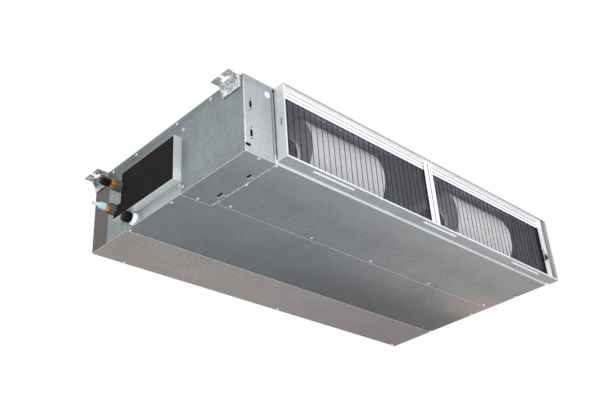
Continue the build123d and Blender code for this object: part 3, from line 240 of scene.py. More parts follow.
def roll_bead(shape, way, place, across, least, most, push, index):
    """A shallow line 4.4 mm wide in a sheet: at one place along a way, where across is in a range."""
    normal = Vector([float(axis == way) for axis in range(3)])
    half = 0.0022
    touch = 2e-5
    for step in (-half, 0.0, half):
        bmesh.ops.bisect_plane(shape, geom=shape.verts[:] + shape.edges[:] + shape.faces[:], dist=1e-6,
                               plane_co=normal * (place + step), plane_no=normal)
    for vert in shape.verts:
        if abs(vert.co[way] - place) < touch and least < vert.co[across] < most:
            vert.co[across] += push
    for face in shape.faces:
        centre = face.calc_center_median()
        if abs(centre[way] - place) < half and least < centre[across] < most:
            face.material_index = index


def upright(face):
    """1 for a face that stands upright, 0 for one that lies flat; the upright faces take a lighter copy in
    painted light.
    """
    return int(abs(face.normal.z) < 0.5)


fold_radius = 0.0014
plane_margin = 0.002
# The fold material is a painted highlight on the rounded folds and cut edges.
painted_fold_highlight = galvanised_steel("zinc_fold_painted_highlight", "#c6cacc", "#f3f5f6", roughness=0.32, metallic=0.6)
zinc_side = galvanised_steel("galvanised_steel_side", "#798183", "#9fa7a8")
# Pipe end: painted light toward the inlet side, painted shade toward the top, most toward the outlet side,
# and the outlet section's own warmer tone.
zinc_pipe_end = galvanised_steel("galvanised_steel_pipe_end", "#7d8587", "#a2aaab", painted_light_and_tint_drifts=(
    ("#c2c9ca", 0.8, (1, 0.16, 0.10)), ("#778082", 0.9, (2, 0.17, 0.20)),
    ("#646c6e", 0.6, (1, 0.0, 0.16), (2, 0.19, 0.21)), ("#64605d", 1.0, (1, 0.269, 0.277))))
zinc_upper = galvanised_steel("galvanised_steel_top", "#8a9092", "#aeb4b6")
# Underside: a darker copy in painted shade, painted light toward the inlet side, painted shade deepening
# toward the outlet side and the far end, and a warm painted reflection near the far end.
zinc_under_painted_shade = galvanised_steel("galvanised_steel_underside_painted_shade", "#777c80", "#91969a", streaks=0, painted_light_and_tint_drifts=(
    ("#a4a8ab", 0.5, (1, -0.20, -0.36), (0, 1.0, 0.2)), ("#4c5054", 0.95, (1, -0.17, 0.14), (0, -1.1, 0.50)),
    ("#a89690", 0.55, (0, 0.42, 0.60), (1, 0.06, -0.10), (1, -0.24, -0.12))))
# Upright lips: a lighter copy of the underside sheet in painted light.
zinc_lip_painted_light = galvanised_steel("galvanised_steel_lip_painted_light", "#c9cdcf", "#eceeef", metallic=0.5)
# The outlet floor darkens toward the far end in painted shade.
zinc_outlet = galvanised_steel("galvanised_steel_outlet_floor", "#95908d", "#afaaa8", spangle=0.003,
                               contrast=0.35, roughness=0.50, streaks=0,
                               painted_light_and_tint_drifts=(("#7d7880", 0.8, (0, -0.25, 0.70)),))
# The tray lightens toward its lower band in painted light.
zinc_tray = galvanised_steel("galvanised_steel_tray", "#b4b9bc", "#d0d4d6", metallic=0.4,
                             painted_light_and_tint_drifts=(("#e6eaec", 0.75, (2, 0.095, 0.06)),))
for node in ("ebox_side_panel", "fan_end_panel_far_side", "coil_end_panel_far_side"):
    folded(node, (zinc_side, painted_fold_highlight), fold_radius, rim=0.0005)
end_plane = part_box("ebox_side_panel")[0].x
folded("coil_end_panel_pipe_side", (zinc_pipe_end, zinc_tray, painted_fold_highlight), fold_radius, rim=0.0005,
       pick=lambda face: int(face.calc_center_median().x < end_plane - plane_margin))
folded("ebox_bottom_plate", (zinc_under_painted_shade, painted_fold_highlight), fold_radius, rim=0.0022)
for node in ("fan_bottom_panel", "coil_bottom_panel"):
    folded(node, (zinc_under_painted_shade, zinc_lip_painted_light, painted_fold_highlight), fold_radius, rim=0.0012, pick=upright)
folded("outlet_bottom_panel", (zinc_outlet, painted_fold_highlight), fold_radius, rim=0.0010)
folded("top_panel", (zinc_upper, zinc_pipe_end, painted_fold_highlight), fold_radius, rim=0.0005,
       pick=lambda face: int(face.normal.x < -0.7))
top_low, top_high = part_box("top_panel")
hem_height = 0.0045
hem_lap = 0.001
hem_thickness = 0.0012
hem_from_ends = 0.015
hem = bmesh.new()
eased_block(hem, Matrix.Translation((top_low.x + 0.0007, (top_low.y + top_high.y) / 2,
                                     top_high.z + (hem_height - hem_lap) / 2)),
            (hem_thickness, top_high.y - top_low.y - 2 * hem_from_ends, hem_height + hem_lap), 0.0004)
dressed("top_panel_hem", hem, (zinc_pipe_end,), "casing")
folded("outlet_face_panel", (zinc_side, painted_fold_highlight), fold_radius)


# Inlet frame: roll-formed channels for the head and sill, folded jambs and a spot-welded
# centre post, all of aluminium-zinc coated sheet. Its faces take copies of the sheet in
# painted light and shade: the insides of the channels are painted palest as painted light,
# and pale tape in that painted-light copy closes the sill's slots from above.

def aluminium_zinc(painted_light_copy, dull, bright, roughness, metallic, contrast=0.12):
    """Aluminium-rich zinc: finer crystals, about 6 mm, so it looks whiter and more even. Each copy's tone is
    painted light or shade.
    """
    return galvanised_steel("aluminium_zinc_sheet" + painted_light_copy, dull, bright, spangle=0.006,
                            contrast=contrast, roughness=roughness, metallic=metallic, streaks=0)


# Copies of one sheet in painted light and shade: bright for the head, far jamb and post, plain for the near
# jamb, dull for the sill's underside, lighter for its lip, and palest for the insides, the far jamb's wall
# and the sill's slot tape.
zinc_white = aluminium_zinc("_bright", "#dfe1e3", "#fbfcfc", 0.45, 0.25)
zinc_frame = aluminium_zinc("", "#d3d5d7", "#eff0f1", 0.45, 0.45)
zinc_dull = aluminium_zinc("_dull", "#93979b", "#adb1b5", 0.50, 0.6, 0.20)
sill_lip = aluminium_zinc("_lip", "#ccced0", "#e6e8e9", 0.50, 0.4)
zinc_pale_painted_light = aluminium_zinc("_inside", "#f4f5f6", "#ffffff", 0.50, 0.0, 0.10)
# Painted shade for the rolled beads, the head's front flange and the far jamb's wall behind the filter.
bead_shade = galvanised_steel("painted_shade_of_rolled_bead", "#989b9e", "#adb0b3", roughness=0.5, metallic=0.4)
# Cut edges are darker bare steel, and the folds that take this material are darkened as painted shade.
sheet_edge_and_fold_shade = galvanised_steel("dark_sheet_edge_and_painted_fold_shade", "#6d7174", "#8c9093", roughness=0.50, metallic=0.7)
joint_shade = galvanised_steel("shaded_joint_of_sheet", "#4a4d50", "#6a6d70", roughness=0.55, metallic=0.5)
far_wall, frame_front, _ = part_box("inlet_frame_right")[0]


def front_flange(face):
    """1 for the flange at the front of the frame, which takes a painted-shade tone, 0 for all that lies
    behind it.
    """
    return int(face.normal.y < -0.7 and face.calc_center_median().y < frame_front + plane_margin)


head_low, head_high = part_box("inlet_frame_top")
# Each bead: its way, its place, the axis across with its span, its depth and its material.
head_beads = [(1, head_low.y + 0.007, 2, head_high.z - 0.0014, head_high.z + 0.001, -0.0005, 2)]
head_beads += [(2, head_high.z - below, 1, head_low.y + 0.018, head_low.y + 0.026, 0.0005, 1)
               for below in (0.0055, 0.0185)]
# The head's front flange and its upright beads are painted shade; its underside and the bead along it are
# painted light.
folded("inlet_frame_top", (zinc_white, bead_shade, zinc_pale_painted_light, sheet_edge_and_fold_shade), 0.0004,
       pick=lambda face: 1 if front_flange(face) else 2 if face.normal.z < -0.5 else 0, beads=head_beads)
# The sill's underside is a dull copy in painted shade and its upright lip a lighter copy in painted light.
folded("inlet_frame_bottom", (zinc_dull, sill_lip, painted_fold_highlight), 0.0006, rim=0.0005, pick=upright)
folded("inlet_frame_left", (zinc_frame, painted_fold_highlight), 0.0008, rim=0.0005)


def far_jamb_face(face):
    """1 for the front flange in painted shade, 2 for the wall beside the filter in painted light, 3 for the
    wall behind it in painted shade.
    """
    if front_flange(face):
        return 1
    if face.normal.x > -0.7:
        return 0
    return 2 if face.calc_center_median().x < far_wall + plane_margin else 3


folded("inlet_frame_right", (zinc_white, zinc_upper, zinc_pale_painted_light, bead_shade, sheet_edge_and_fold_shade), 0.0004,
       pick=far_jamb_face)
sill_low, sill_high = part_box("inlet_frame_bottom")
slot_tape = bmesh.new()
eased_block(slot_tape, Matrix.Translation(((sill_low.x + sill_high.x) / 2, sill_low.y + 0.013,
                                           sill_low.z + 0.0018)), (1.12, 0.013, 0.0009), 0.0002, 1)
dressed("sill_slot_tape", slot_tape, (zinc_pale_painted_light,), "casing")
post_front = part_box("inlet_mullion")[0].y
# The post's faces behind its front are painted shade.
folded("inlet_mullion", (zinc_white, joint_shade), 0.0004,
       pick=lambda face: int(face.calc_center_median().y > post_front + 0.0008))


# Outlet collar: one galvanised spigot for the duct, folded with a flange and screwed to
# the outlet face.

folded("outlet_collar", (zinc_upper, painted_fold_highlight), 0.0010, rim=0.0004)


# Control box and inner sheets: a screwed cover with cable holes and a pressed dimple, the
# cover painted lighter as painted light and the dimple lighter still as a painted highlight,
# folded inner walls, the raised pipe cover's tray, and the fan partition in painted shade.

# The cover is a lighter copy in painted light, darkening toward its top in painted shade.
zinc_cover = galvanised_steel("galvanised_steel_cover", "#a0a5a8", "#bfc3c6", metallic=0.7,
                              painted_light_and_tint_drifts=(("#8f9498", 0.45, (2, 0.05, 0.24)),))
# The partition's tone is set for the shade inside the casing: painted shade.
zinc_shade = galvanised_steel("galvanised_steel_partition_painted_shade", "#80858c", "#9a9fa6", metallic=0.3)
folded("ebox_cover", (zinc_cover, painted_fold_highlight), fold_radius, rim=0.0005)
dimple_place = (-0.596, 0.213)
dimple_radius = 0.010
dimple_rise = 0.0022


def pressed_dimple(middle, radius, rise):
    """A shallow round boss pressed out of a sheet that faces the inlet side."""
    shape = bmesh.new()
    bmesh.ops.create_uvsphere(shape, u_segments=32, v_segments=16, radius=1.0,
                              matrix=Matrix.Translation(middle) @ Matrix.Diagonal((radius, rise, radius, 1)))
    bmesh.ops.bisect_plane(shape, geom=shape.verts[:] + shape.edges[:] + shape.faces[:], plane_co=middle,
                           plane_no=(0, 1, 0), clear_outer=True)
    rim = [edge for edge in shape.edges if edge.is_boundary]
    bmesh.ops.contextual_create(shape, geom=rim)
    for face in shape.faces:
        face.smooth = len(face.verts) < 5
    return shape


# The dimple takes a lighter sheet than the cover as a painted highlight.
dimple_middle = Vector((dimple_place[0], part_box("ebox_cover")[0].y + 0.0001, dimple_place[1]))
dressed("cover_dimple", pressed_dimple(dimple_middle, dimple_radius, dimple_rise), (zinc_frame,), "casing")
folded("ebox_case", (zinc_cover, sheet_edge_and_fold_shade), fold_radius)
folded("pipe_cover_tray", (zinc_tray, painted_fold_highlight), 0.0008, rim=0.0006)
folded("fan_partition", (zinc_shade, painted_fold_highlight), fold_radius)
folded("motor_bracket", (zinc_side, painted_fold_highlight), 0.0008)
folded("motor_straps", (zinc_side, painted_fold_highlight), 0.0004)


# Hooked seam: the control box plate hooks into the fan section's panel with short pressed
# lances, whose painted highlight shows as a broken bright line along the joint.

def hooked_seam():
    """A row of small pressed lances along the joint, each with eased edges."""
    low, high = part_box("ebox_bottom_plate")
    shape = bmesh.new()
    count = 13
    setback = 0.002
    step = (high.y - low.y - 2 * setback) / count
    for index in range(count):
        length = step * (0.78 if index % 3 else 0.62)
        middle = (high.x - 0.0004 + 0.0007 * (index % 2), low.y + setback + (index + 0.5) * step, -0.0004)
        eased_block(shape, Matrix.Translation(middle), (0.0030, length, 0.0012), 0.0004)
    return shape


dressed("hooked_seam_lances", hooked_seam(), (painted_fold_highlight,), "casing")


# Screws: zinc-plated steel sheet screws with a pressed washer, a low dome and a cross
# recess for the driver. They are bright against the duller sheet.

def zinc_plate():
    """Clear-passivated electroplate: bright, slightly blue, faintly stained."""
    material, tree, place = blank_material("electroplated_zinc_screw")
    stain = add(tree, "ShaderNodeTexNoise", {"Vector": place, "Scale": 1 / 0.004, "Detail": 2.0})
    colour = blend(tree, stain.outputs["Fac"], linear("#d3d7da"), linear("#fbfcfd"))
    shader = add(tree, "ShaderNodeBsdfPrincipled", {"Base Color": colour, "Metallic": 0.9,
                                                    "Roughness": 0.22})
    closed_tree(tree, shader)
    return material


def cross_screw(shape, place):
    """One screw: washer, dome and a sunk cross, made at the origin and moved to its place."""
    recess = 0.0008
    known = set(shape.verts)
    bmesh.ops.create_circle(shape, cap_ends=True, segments=16, radius=0.0024,
                            matrix=Matrix.Translation((0, 0, 0.0019)))
    top = [face for face in shape.faces if not known & set(face.verts)][0]
    if top.normal.z < 0:
        top.normal_flip()
    rim = top.edges[:]
    dome_and_washer = ((0.0034, 0.0013), (0.0035, 0.0008), (0.0047, 0.0007), (0.0048, 0.0), (0.0020, 0.0))
    for radius, height in dome_and_washer:
        made = bmesh.ops.extrude_edge_only(shape, edges=rim)["geom"]
        rim = only(bmesh.types.BMEdge, made)
        for vert in only(bmesh.types.BMVert, made):
            flat = Vector((vert.co.x, vert.co.y, 0)).normalized() * radius
            vert.co = (flat.x, flat.y, height)
    bmesh.ops.inset_region(shape, faces=[top], thickness=0.0016, depth=0.0)
    ring = [face for edge in top.edges for face in edge.link_faces if face != top]
    cross = [top] + ring[1::4]
    sunk = bmesh.ops.extrude_face_region(shape, geom=cross)["geom"]
    bmesh.ops.translate(shape, verts=only(bmesh.types.BMVert, sunk), vec=(0, 0, -recess))
    bmesh.ops.delete(shape, geom=[face for face in cross if face.is_valid], context="FACES_ONLY")
    fresh = [vert for vert in shape.verts if vert not in known]
    for face in {face for vert in fresh for face in vert.link_faces}:
        face.smooth = True
    bmesh.ops.transform(shape, matrix=place, verts=fresh)


def islands(node):
    """The separate solids of a CAD node, each as a list of its points."""
    shape = bmesh.new()
    shape.from_mesh(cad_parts[node].data)
    bmesh.ops.remove_doubles(shape, verts=shape.verts, dist=2e-6)
    left = set(shape.verts)
    groups = []
    for start in shape.verts:
        if start not in left:
            continue
        left.remove(start)
        front = [start]
        group = []
        while front:
            vert = front.pop()
            group.append(vert.co.copy())
            for edge in vert.link_edges:
                other = edge.other_vert(vert)
                if other in left:
                    left.remove(other)
                    front.append(other)
        groups.append(group)
    shape.free()
    return groups


washer_edge = 0.0045


def extent(points):
    """The low and the high corner of a group of points."""
    return [Vector([end(p[i] for p in points) for i in range(3)]) for end in (min, max)]


def screws(node, material):
    """A detailed screw where each plain one of the node stands, each turned differently."""
    shape = bmesh.new()
    for index, points in enumerate(islands(node)):
        low, high = extent(points)
        size = high - low
        along = min(range(3), key=lambda i: size[i])
        middle = (low + high) / 2
        outer = [p[along] for p in points
                 if (p - middle).length_squared - (p - middle)[along] ** 2 > washer_edge ** 2]
        way = 1 if sum(outer) / len(outer) > middle[along] else -1
        seat = middle.copy()
        seat[along] = min(outer) if way > 0 else max(outer)
        outward = Vector([way if i == along else 0 for i in range(3)])
        turn = Vector((0, 0, 1)).rotation_difference(outward).to_matrix().to_4x4()
        spin = Matrix.Rotation(radians(37 * index), 4, "Z")
        cross_screw(shape, Matrix.Translation(seat) @ turn @ spin)
    dressed(node + "_cross_head", shape, (material,), "casing", (node,), 40.0)


bright_screw = zinc_plate()
screws("bottom_screws", bright_screw)
screws("casing_screws", bright_screw)


# Hanger brackets: 2.5 mm galvanised steel, pressed with stiffening ribs and slotted for
# M10 rod, screwed high on both ends.

# The inlet-side hangers are painted lighter and the outlet-side ones darker: painted light and shade on one
# steel.
for side, dull, bright in (("inlet", "#b6babc", "#fdfdfe"), ("outlet", "#7e8386", "#e2e4e5")):
    zinc_hanger = galvanised_steel("galvanised_steel_hanger_" + side, dull, bright, spangle=0.005,
                                   contrast=0.7)
    for end in ("pipe_end", "far_end"):
        folded("hanger_%s_%s" % (side, end), (zinc_hanger, painted_fold_highlight), 0.0007, least=0.002, rim=0.0004)


# Filters: a moulded polypropylene frame with thin upright ribs and a fine nylon net
# behind them. The net hides little: the white fan housings show through it.

def moulded_plastic(name, dark, light, grain, roughness, gloss=0.5):
    """Moulded plastic: even colour, a fine texture from the tool, clouds of dust 60 mm across."""
    material, tree, place = blank_material(name)
    dust = add(tree, "ShaderNodeTexNoise", {"Vector": place, "Scale": 1 / 0.06, "Detail": 5.0,
                                            "Roughness": 0.6})
    pits = add(tree, "ShaderNodeTexNoise", {"Vector": place, "Scale": 1 / grain, "Detail": 2.0})
    colour = blend(tree, dust.outputs["Fac"], linear(dark), linear(light))
    rough = add(tree, "ShaderNodeMapRange", {"Value": dust.outputs["Fac"], "To Min": roughness - 0.08,
                                             "To Max": roughness + 0.10})
    bump = add(tree, "ShaderNodeBump", {"Height": pits.outputs["Fac"], "Distance": 0.0002, "Strength": 0.4})
    shader = add(tree, "ShaderNodeBsdfPrincipled", {"Base Color": colour,
                                                    "Roughness": rough.outputs[0], "IOR": 1.49,
                                                    "Specular IOR Level": gloss,
                                                    "Normal": bump.outputs[0]})
    closed_tree(tree, shader)
    return material


def nylon_net():
    """Woven nylon net: real threads are 1 mm apart, drawn 2.8 mm apart so that they show."""
    material, tree, place = blank_material("woven_nylon_net")
    pitch = 0.0028
    # Blender's wave makes 20 / 2 pi bands in a metre at scale 1.
    bands_per_scale = 20 / (2 * pi)
    threads = [add(tree, "ShaderNodeTexWave", {"Vector": place, "Scale": 1 / pitch / bands_per_scale},
                   wave_type="BANDS", bands_direction=way, wave_profile="SIN") for way in ("X", "Z")]
    thread = add(tree, "ShaderNodeMath", {0: threads[0].outputs["Fac"], 1: threads[1].outputs["Fac"]},
                 operation="MAXIMUM")
    cover = add(tree, "ShaderNodeMapRange", {"Value": thread.outputs[0], "From Min": 0.70, "From Max": 1.0,
                                             "To Min": 0.0, "To Max": 0.46})
    clear = add(tree, "ShaderNodeBsdfTransparent")
    shader = add(tree, "ShaderNodeBsdfPrincipled", {"Base Color": linear("#64666e"), "Roughness": 0.6,
                                                    "IOR": 1.53})
    net = add(tree, "ShaderNodeMixShader", {0: cover.outputs[0], 1: clear.outputs[0], 2: shader.outputs[0]})
    closed_tree(tree, net)
    return material


filter_plastic = moulded_plastic("polypropylene_filter_frame", "#141517", "#1f2124", 0.0012, 0.5, 0.3)
filter_net = nylon_net()
for side in ("left", "right"):
    folded(side + "_filter_frame", (filter_plastic,), 0.0008, side + "_filter")
    dressed_copy(side + "_net", side + "_filter_net", filter_net, side + "_filter")


# Fan housings: white moulded ABS volutes in two halves, clipped at the shaft's height, with
# painted shade, a greyer tone, on the side walls that face the pipe end. The far one is
# painted whiter as painted light, since it looks whiter in the photograph. Inside them turn
# two wheels of black glass-filled nylon.

housing_white = {"left": moulded_plastic("white_abs_fan_housing_near_painted_shade", "#e0dfe2", "#ecebee", 0.0015, 0.45),
                 "right": moulded_plastic("white_abs_fan_housing_far_painted_light", "#f4f3f5", "#fdfcfe", 0.0015, 0.45)}
housing_side_painted_shade = moulded_plastic("abs_fan_housing_side_painted_shade", "#a2a2a8", "#b8b8bd", 0.0015, 0.5)
for side in ("left", "right"):
    for half in ("upper", "lower"):
        node = side + "_housing_" + half
        shape = merged_copy(node)
        for face in shape.faces:
            # Side walls that face the pipe end take the painted shade.
            face.material_index = int(face.normal.x < -0.7)
        dressed(node + "_moulding", shape, (housing_white[side], housing_side_painted_shade), "casing",
                (node,))

wheel_black = moulded_plastic("glass_filled_nylon_fan_wheel", "#1d2023", "#2c3034", 0.001, 0.5)
for side in ("left", "right"):
    dressed_copy(side + "_fan_wheel_moulding", side + "_fan_wheel", wheel_black,
                 "fan_rotor")


# Motor: a rolled steel case with pressed end bells, sprayed with grey enamel, on a shaft
# of turned steel that carries both wheels.

def enamel(name, dark, light, roughness):
    """Sprayed enamel: even colour with 3 mm orange peel, which breaks up its shine."""
    material, tree, place = blank_material(name)
    peel = add(tree, "ShaderNodeTexNoise", {"Vector": place, "Scale": 1 / 0.003, "Detail": 1.0})
    tone = add(tree, "ShaderNodeTexNoise", {"Vector": place, "Scale": 1 / 0.05, "Detail": 3.0})
    colour = blend(tree, tone.outputs["Fac"], linear(dark), linear(light))
    bump = add(tree, "ShaderNodeBump", {"Height": peel.outputs["Fac"], "Distance": 0.0002, "Strength": 0.3})
    shader = add(tree, "ShaderNodeBsdfPrincipled", {"Base Color": colour, "Roughness": roughness,
                                                    "Coat Weight": 0.2, "Normal": bump.outputs[0]})
    closed_tree(tree, shader)
    return material


def drawn_metal(name, dark, light, direction, pitch, roughness):
    """Bare metal with fine lines along the way it was drawn, and tarnish in 20 mm patches."""
    material, tree, place = blank_material(name)
    stretch = [1 / pitch if i == direction else 1 / (40 * pitch) for i in range(3)]
    lines = add(tree, "ShaderNodeMapping", {"Vector": place, "Scale": stretch})
    streak = add(tree, "ShaderNodeTexNoise", {"Vector": lines.outputs[0], "Scale": 1.0, "Detail": 3.0})
    tarnish = add(tree, "ShaderNodeTexNoise", {"Vector": place, "Scale": 1 / 0.02, "Detail": 4.0})
    both = add(tree, "ShaderNodeMath", {0: streak.outputs["Fac"], 1: tarnish.outputs["Fac"]},
               operation="MULTIPLY")
    spread = add(tree, "ShaderNodeMapRange", {"Value": both.outputs[0], "From Min": 0.12, "From Max": 0.42})
    colour = blend(tree, spread.outputs[0], linear(dark), linear(light))
    rough = add(tree, "ShaderNodeMapRange", {"Value": both.outputs[0], "From Min": 0.1, "From Max": 0.45,
                                             "To Min": roughness + 0.12, "To Max": roughness - 0.05})
    bump = add(tree, "ShaderNodeBump", {"Height": streak.outputs["Fac"], "Distance": 0.0002, "Strength": 0.2})
    shader = add(tree, "ShaderNodeBsdfPrincipled", {"Base Color": colour, "Metallic": 1.0,
                                                    "Roughness": rough.outputs[0], "Normal": bump.outputs[0]})
    closed_tree(tree, shader)
    return material


motor_enamel = enamel("grey_enamelled_motor", "#34383c", "#43484d", 0.4)
shaft_steel = drawn_metal("turned_shaft_steel", "#8b8f92", "#c6c9cb", 0, 0.0006, 0.25)
dressed_copy("motor_case", "motor", motor_enamel)
dressed_copy("motor_shaft_turned", "motor_shaft", shaft_steel, "fan_rotor")


# Evaporator: a stack of thin aluminium fins on expanded copper tubes, between two
# galvanised plates. The stack is drawn with a fin every 4 mm, so that the gaps show.

def fin_stack():
    """Thin slanted plates side by side, in the place of the solid block."""
    block = merged_copy("evaporator_fins")
    corners = {tuple(round(c, 5) for c in (v.co.y, v.co.z)) for v in block.verts}
    low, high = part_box("evaporator_fins")
    block.free()
    order = sorted(corners)
    first = min(order, key=lambda c: c[0])
    last = max(order, key=lambda c: c[0])
    top = max(order, key=lambda c: c[1])
    foot = min(order, key=lambda c: c[1])
    pitch = 0.004
    thickness = 0.0006
    shape = bmesh.new()
    count = int((high.x - low.x) / pitch)
    for index in range(count):
        x = low.x + (index + 0.5) * (high.x - low.x) / count
        ring = [shape.verts.new((x - thickness / 2, *point)) for point in (first, foot, last, top)]
        face = shape.faces.new(ring)
        made = bmesh.ops.extrude_face_region(shape, geom=[face])["geom"]
        bmesh.ops.translate(shape, verts=only(bmesh.types.BMVert, made), vec=(thickness, 0, 0))
    bmesh.ops.recalc_face_normals(shape, faces=shape.faces)
    return shape


fins = drawn_metal("plain_aluminium_fins", "#8f9aa1", "#c2cbd0", 2, 0.004, 0.35)
dressed("fin_stack", fin_stack(), (fins,), "casing", ("evaporator_fins",))
for end in ("pipe_side", "far_side"):
    folded("coil_plate_" + end, (zinc_side, painted_fold_highlight), 0.0005)

copper = drawn_metal("drawn_copper_tube", "#8a4526", "#d08a5c", 1, 0.001, 0.28)
for node in ("return_bends", "gas_pipe", "liquid_pipe"):
    dressed_copy(node + "_tube", node, copper)


# Pipe ends: grey-brown foam sleeves in the cover's notches, brass flare nuts, a dark cap
# on the thick pipe and a pale blue cap with a long nose on the thin one.

def turned(profile, y, z, steps=40, shape=None):
    """Turn a profile of (x, radius) points about an axis along X, into a given bmesh or a new one."""
    shape = shape or bmesh.new()
    points = [shape.verts.new((x, y, z + radius)) for x, radius in profile]
    edges = [shape.edges.new(pair) for pair in zip(points, points[1:])]
    bmesh.ops.spin(shape, geom=points + edges, cent=(0, y, z), axis=(1, 0, 0), angle=2 * pi, steps=steps,
                   use_merge=True)
    bmesh.ops.remove_doubles(shape, verts=shape.verts, dist=1e-6)
    bmesh.ops.recalc_face_normals(shape, faces=shape.faces)
    for face in shape.faces:
        face.smooth = True
    return shape


def sleeve_profile(low, high, bore, radius, ease):
    """A round sleeve with eased outer corners, closed through its bore."""
    return [(low.x, bore), (low.x, radius - ease), (low.x + ease * 0.3, radius - ease * 0.3),
            (low.x + ease, radius), (high.x, radius), (high.x, bore), (low.x, bore)]


def foam_rubber(name, dark, light, cell, roughness, gloss=0.2):
    """Closed-cell foam: dull, with small cut cells that catch the light, and 50 mm clouds of dust."""
    material, tree, place = blank_material(name)
    cells = add(tree, "ShaderNodeTexVoronoi", {"Vector": place, "Scale": 1 / cell})
    tone = add(tree, "ShaderNodeTexNoise", {"Vector": place, "Scale": 1 / 0.05, "Detail": 4.0})
    colour = blend(tree, tone.outputs["Fac"], linear(dark), linear(light))
    bump = add(tree, "ShaderNodeBump", {"Height": cells.outputs["Distance"], "Distance": 0.0006,
                                        "Strength": 0.5})
    shader = add(tree, "ShaderNodeBsdfPrincipled", {"Base Color": colour, "Roughness": roughness,
                                                    "IOR": 1.45, "Specular IOR Level": gloss,
                                                    "Normal": bump.outputs[0]})
    closed_tree(tree, shader)
    return material


pipe_gap = 0.0001
sleeve_foam = foam_rubber("grey_brown_pipe_foam", "#47423e", "#5f5953", 0.0015, 0.85)
sleeves = bmesh.new()
for points, pipe_r in zip(sorted(islands("pipe_grommets"), key=lambda g: -max(p.z for p in g)),
                          (0.00794, 0.00476)):
    low, high = extent(points)
    middle = (low + high) / 2
    turned(sleeve_profile(low, high, pipe_r + pipe_gap, (high.z - low.z) / 2, 0.002), middle.y, middle.z,
           shape=sleeves)
dressed("pipe_sleeves", sleeves, (sleeve_foam,), "casing", ("pipe_grommets",), 50.0)


def flare_nut(node, bore):
    """A hexagon with eased corners and flat faces, open through its bore."""
    low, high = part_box(node)
    middle = (low + high) / 2
    flats = high.z - low.z
    turn = Matrix.Rotation(radians(90), 4, "Y") @ Matrix.Rotation(radians(90), 4, "Z")
    shape = bmesh.new()
    place = Matrix.Translation((low.x, middle.y, middle.z)) @ turn
    bmesh.ops.create_circle(shape, cap_ends=False, segments=6, radius=flats / 2 / cos(pi / 6), matrix=place)
    sides = bmesh.ops.extrude_edge_only(shape, edges=shape.edges[:])["geom"]
    bmesh.ops.translate(shape, verts=only(bmesh.types.BMVert, sides), vec=(high.x - low.x, 0, 0))
    corners = [e for e in shape.edges if abs(e.verts[0].co.x - e.verts[1].co.x) > 0.001]
    bmesh.ops.bevel(shape, geom=corners, offset=0.0010, segments=2, profile=0.5, affect="EDGES",
                    material=-1)
    for x in (low.x, high.x):
        rim = [e for e in shape.edges if len(e.link_faces) == 1 and abs(e.verts[0].co.x - x) < 1e-6
               and abs(e.verts[1].co.x - x) < 1e-6]
        for radius in (flats * 0.47, bore):
            made = bmesh.ops.extrude_edge_only(shape, edges=rim)["geom"]
            rim = only(bmesh.types.BMEdge, made)
            for vert in only(bmesh.types.BMVert, made):
                out = Vector((0, vert.co.y - middle.y, vert.co.z - middle.z)).normalized() * radius
                vert.co = (x, middle.y + out.y, middle.z + out.z)
    rims = [[e for e in shape.edges if len(e.link_faces) == 1 and abs(e.verts[0].co.x - x) < 1e-6]
            for x in (low.x, high.x)]
    bmesh.ops.bridge_loops(shape, edges=rims[0] + rims[1])
    bmesh.ops.recalc_face_normals(shape, faces=shape.faces)
    return shape


brass = drawn_metal("machined_brass_nut", "#bd7a33", "#f4c880", 0, 0.0008, 0.38)
for node, bore in (("gas_nut", 0.0081), ("liquid_nut", 0.0049)):
    dressed(node + "_brass", flare_nut(node, bore), (brass,), "casing", (node,), 25.0)


def grip_cap(node, nose):
    """A transit cap: cup with grip ribs round its skirt, and for the thin pipe a nose."""
    low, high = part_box(node)
    middle = (low + high) / 2
    radius = (high.z - low.z) / 2
    grip = radius * 0.93
    bore = radius - 0.003
    if nose:
        body_x = low.x + nose
        start = body_x + 0.0035
        profile = [(low.x, 0.0), (low.x, radius * 0.36), (low.x + 0.001, radius * 0.42),
                   (body_x - 0.001, radius * 0.56), (body_x, radius * 0.62), (start, grip)]
    else:
        start = low.x + 0.005
        profile = [(low.x, 0.0), (low.x, radius * 0.55), (low.x + 0.0012, radius * 0.68), (start, grip)]
    skirt = high.x - 0.004
    inside = high.x - 0.008
    profile += [(skirt, grip), (skirt + 0.0006, radius), (high.x - 0.0006, radius),
                (high.x, radius * 0.97), (high.x, bore), (inside, bore), (inside, 0.0)]
    shape = turned(profile, middle.y, middle.z, 48)
    ribs = 16
    for index in range(ribs):
        angle = 2 * pi * index / ribs
        place = (Matrix.Translation(((start + skirt) / 2 + 0.0015, middle.y, middle.z))
                 @ Matrix.Rotation(angle, 4, "X") @ Matrix.Translation((0, 0, grip)))
        eased_block(shape, place, ((skirt - start) * 0.8, radius * 0.13, radius * 0.12), radius * 0.025, 1)
    return shape


cap_dark = moulded_plastic("dark_red_black_polythene_cap", "#0b0505", "#200d0b", 0.0008, 0.2, 0.3)
cap_blue = moulded_plastic("pale_blue_polythene_cap", "#8cc3cc", "#b9dfe4", 0.0008, 0.25)
dressed("gas_cap_ribbed", grip_cap("gas_cap", 0.0), (cap_dark,), "casing", ("gas_cap",), 30.0)
dressed("liquid_cap_ribbed", grip_cap("liquid_cap", 0.020), (cap_blue,), "casing",
        ("liquid_cap",), 30.0)


# Foams: a black closed-cell sheet pressed into the pipe cover's tray, creased where it was
# folded for packing, black strips set into the gaps of the casing as painted shadow, and a
# grey sheet glued under the top panel.

def place_shadow_strip(name, low, high):
    """A strip of black closed-cell foam with eased edges, between two corners, put in a gap as painted
    shadow.
    """
    low, high = Vector(low), Vector(high)
    shape = bmesh.new()
    eased_block(shape, Matrix.Translation((low + high) / 2), high - low, 0.0003)
    dressed(name, shape, (shadow_strip_foam,), "casing")


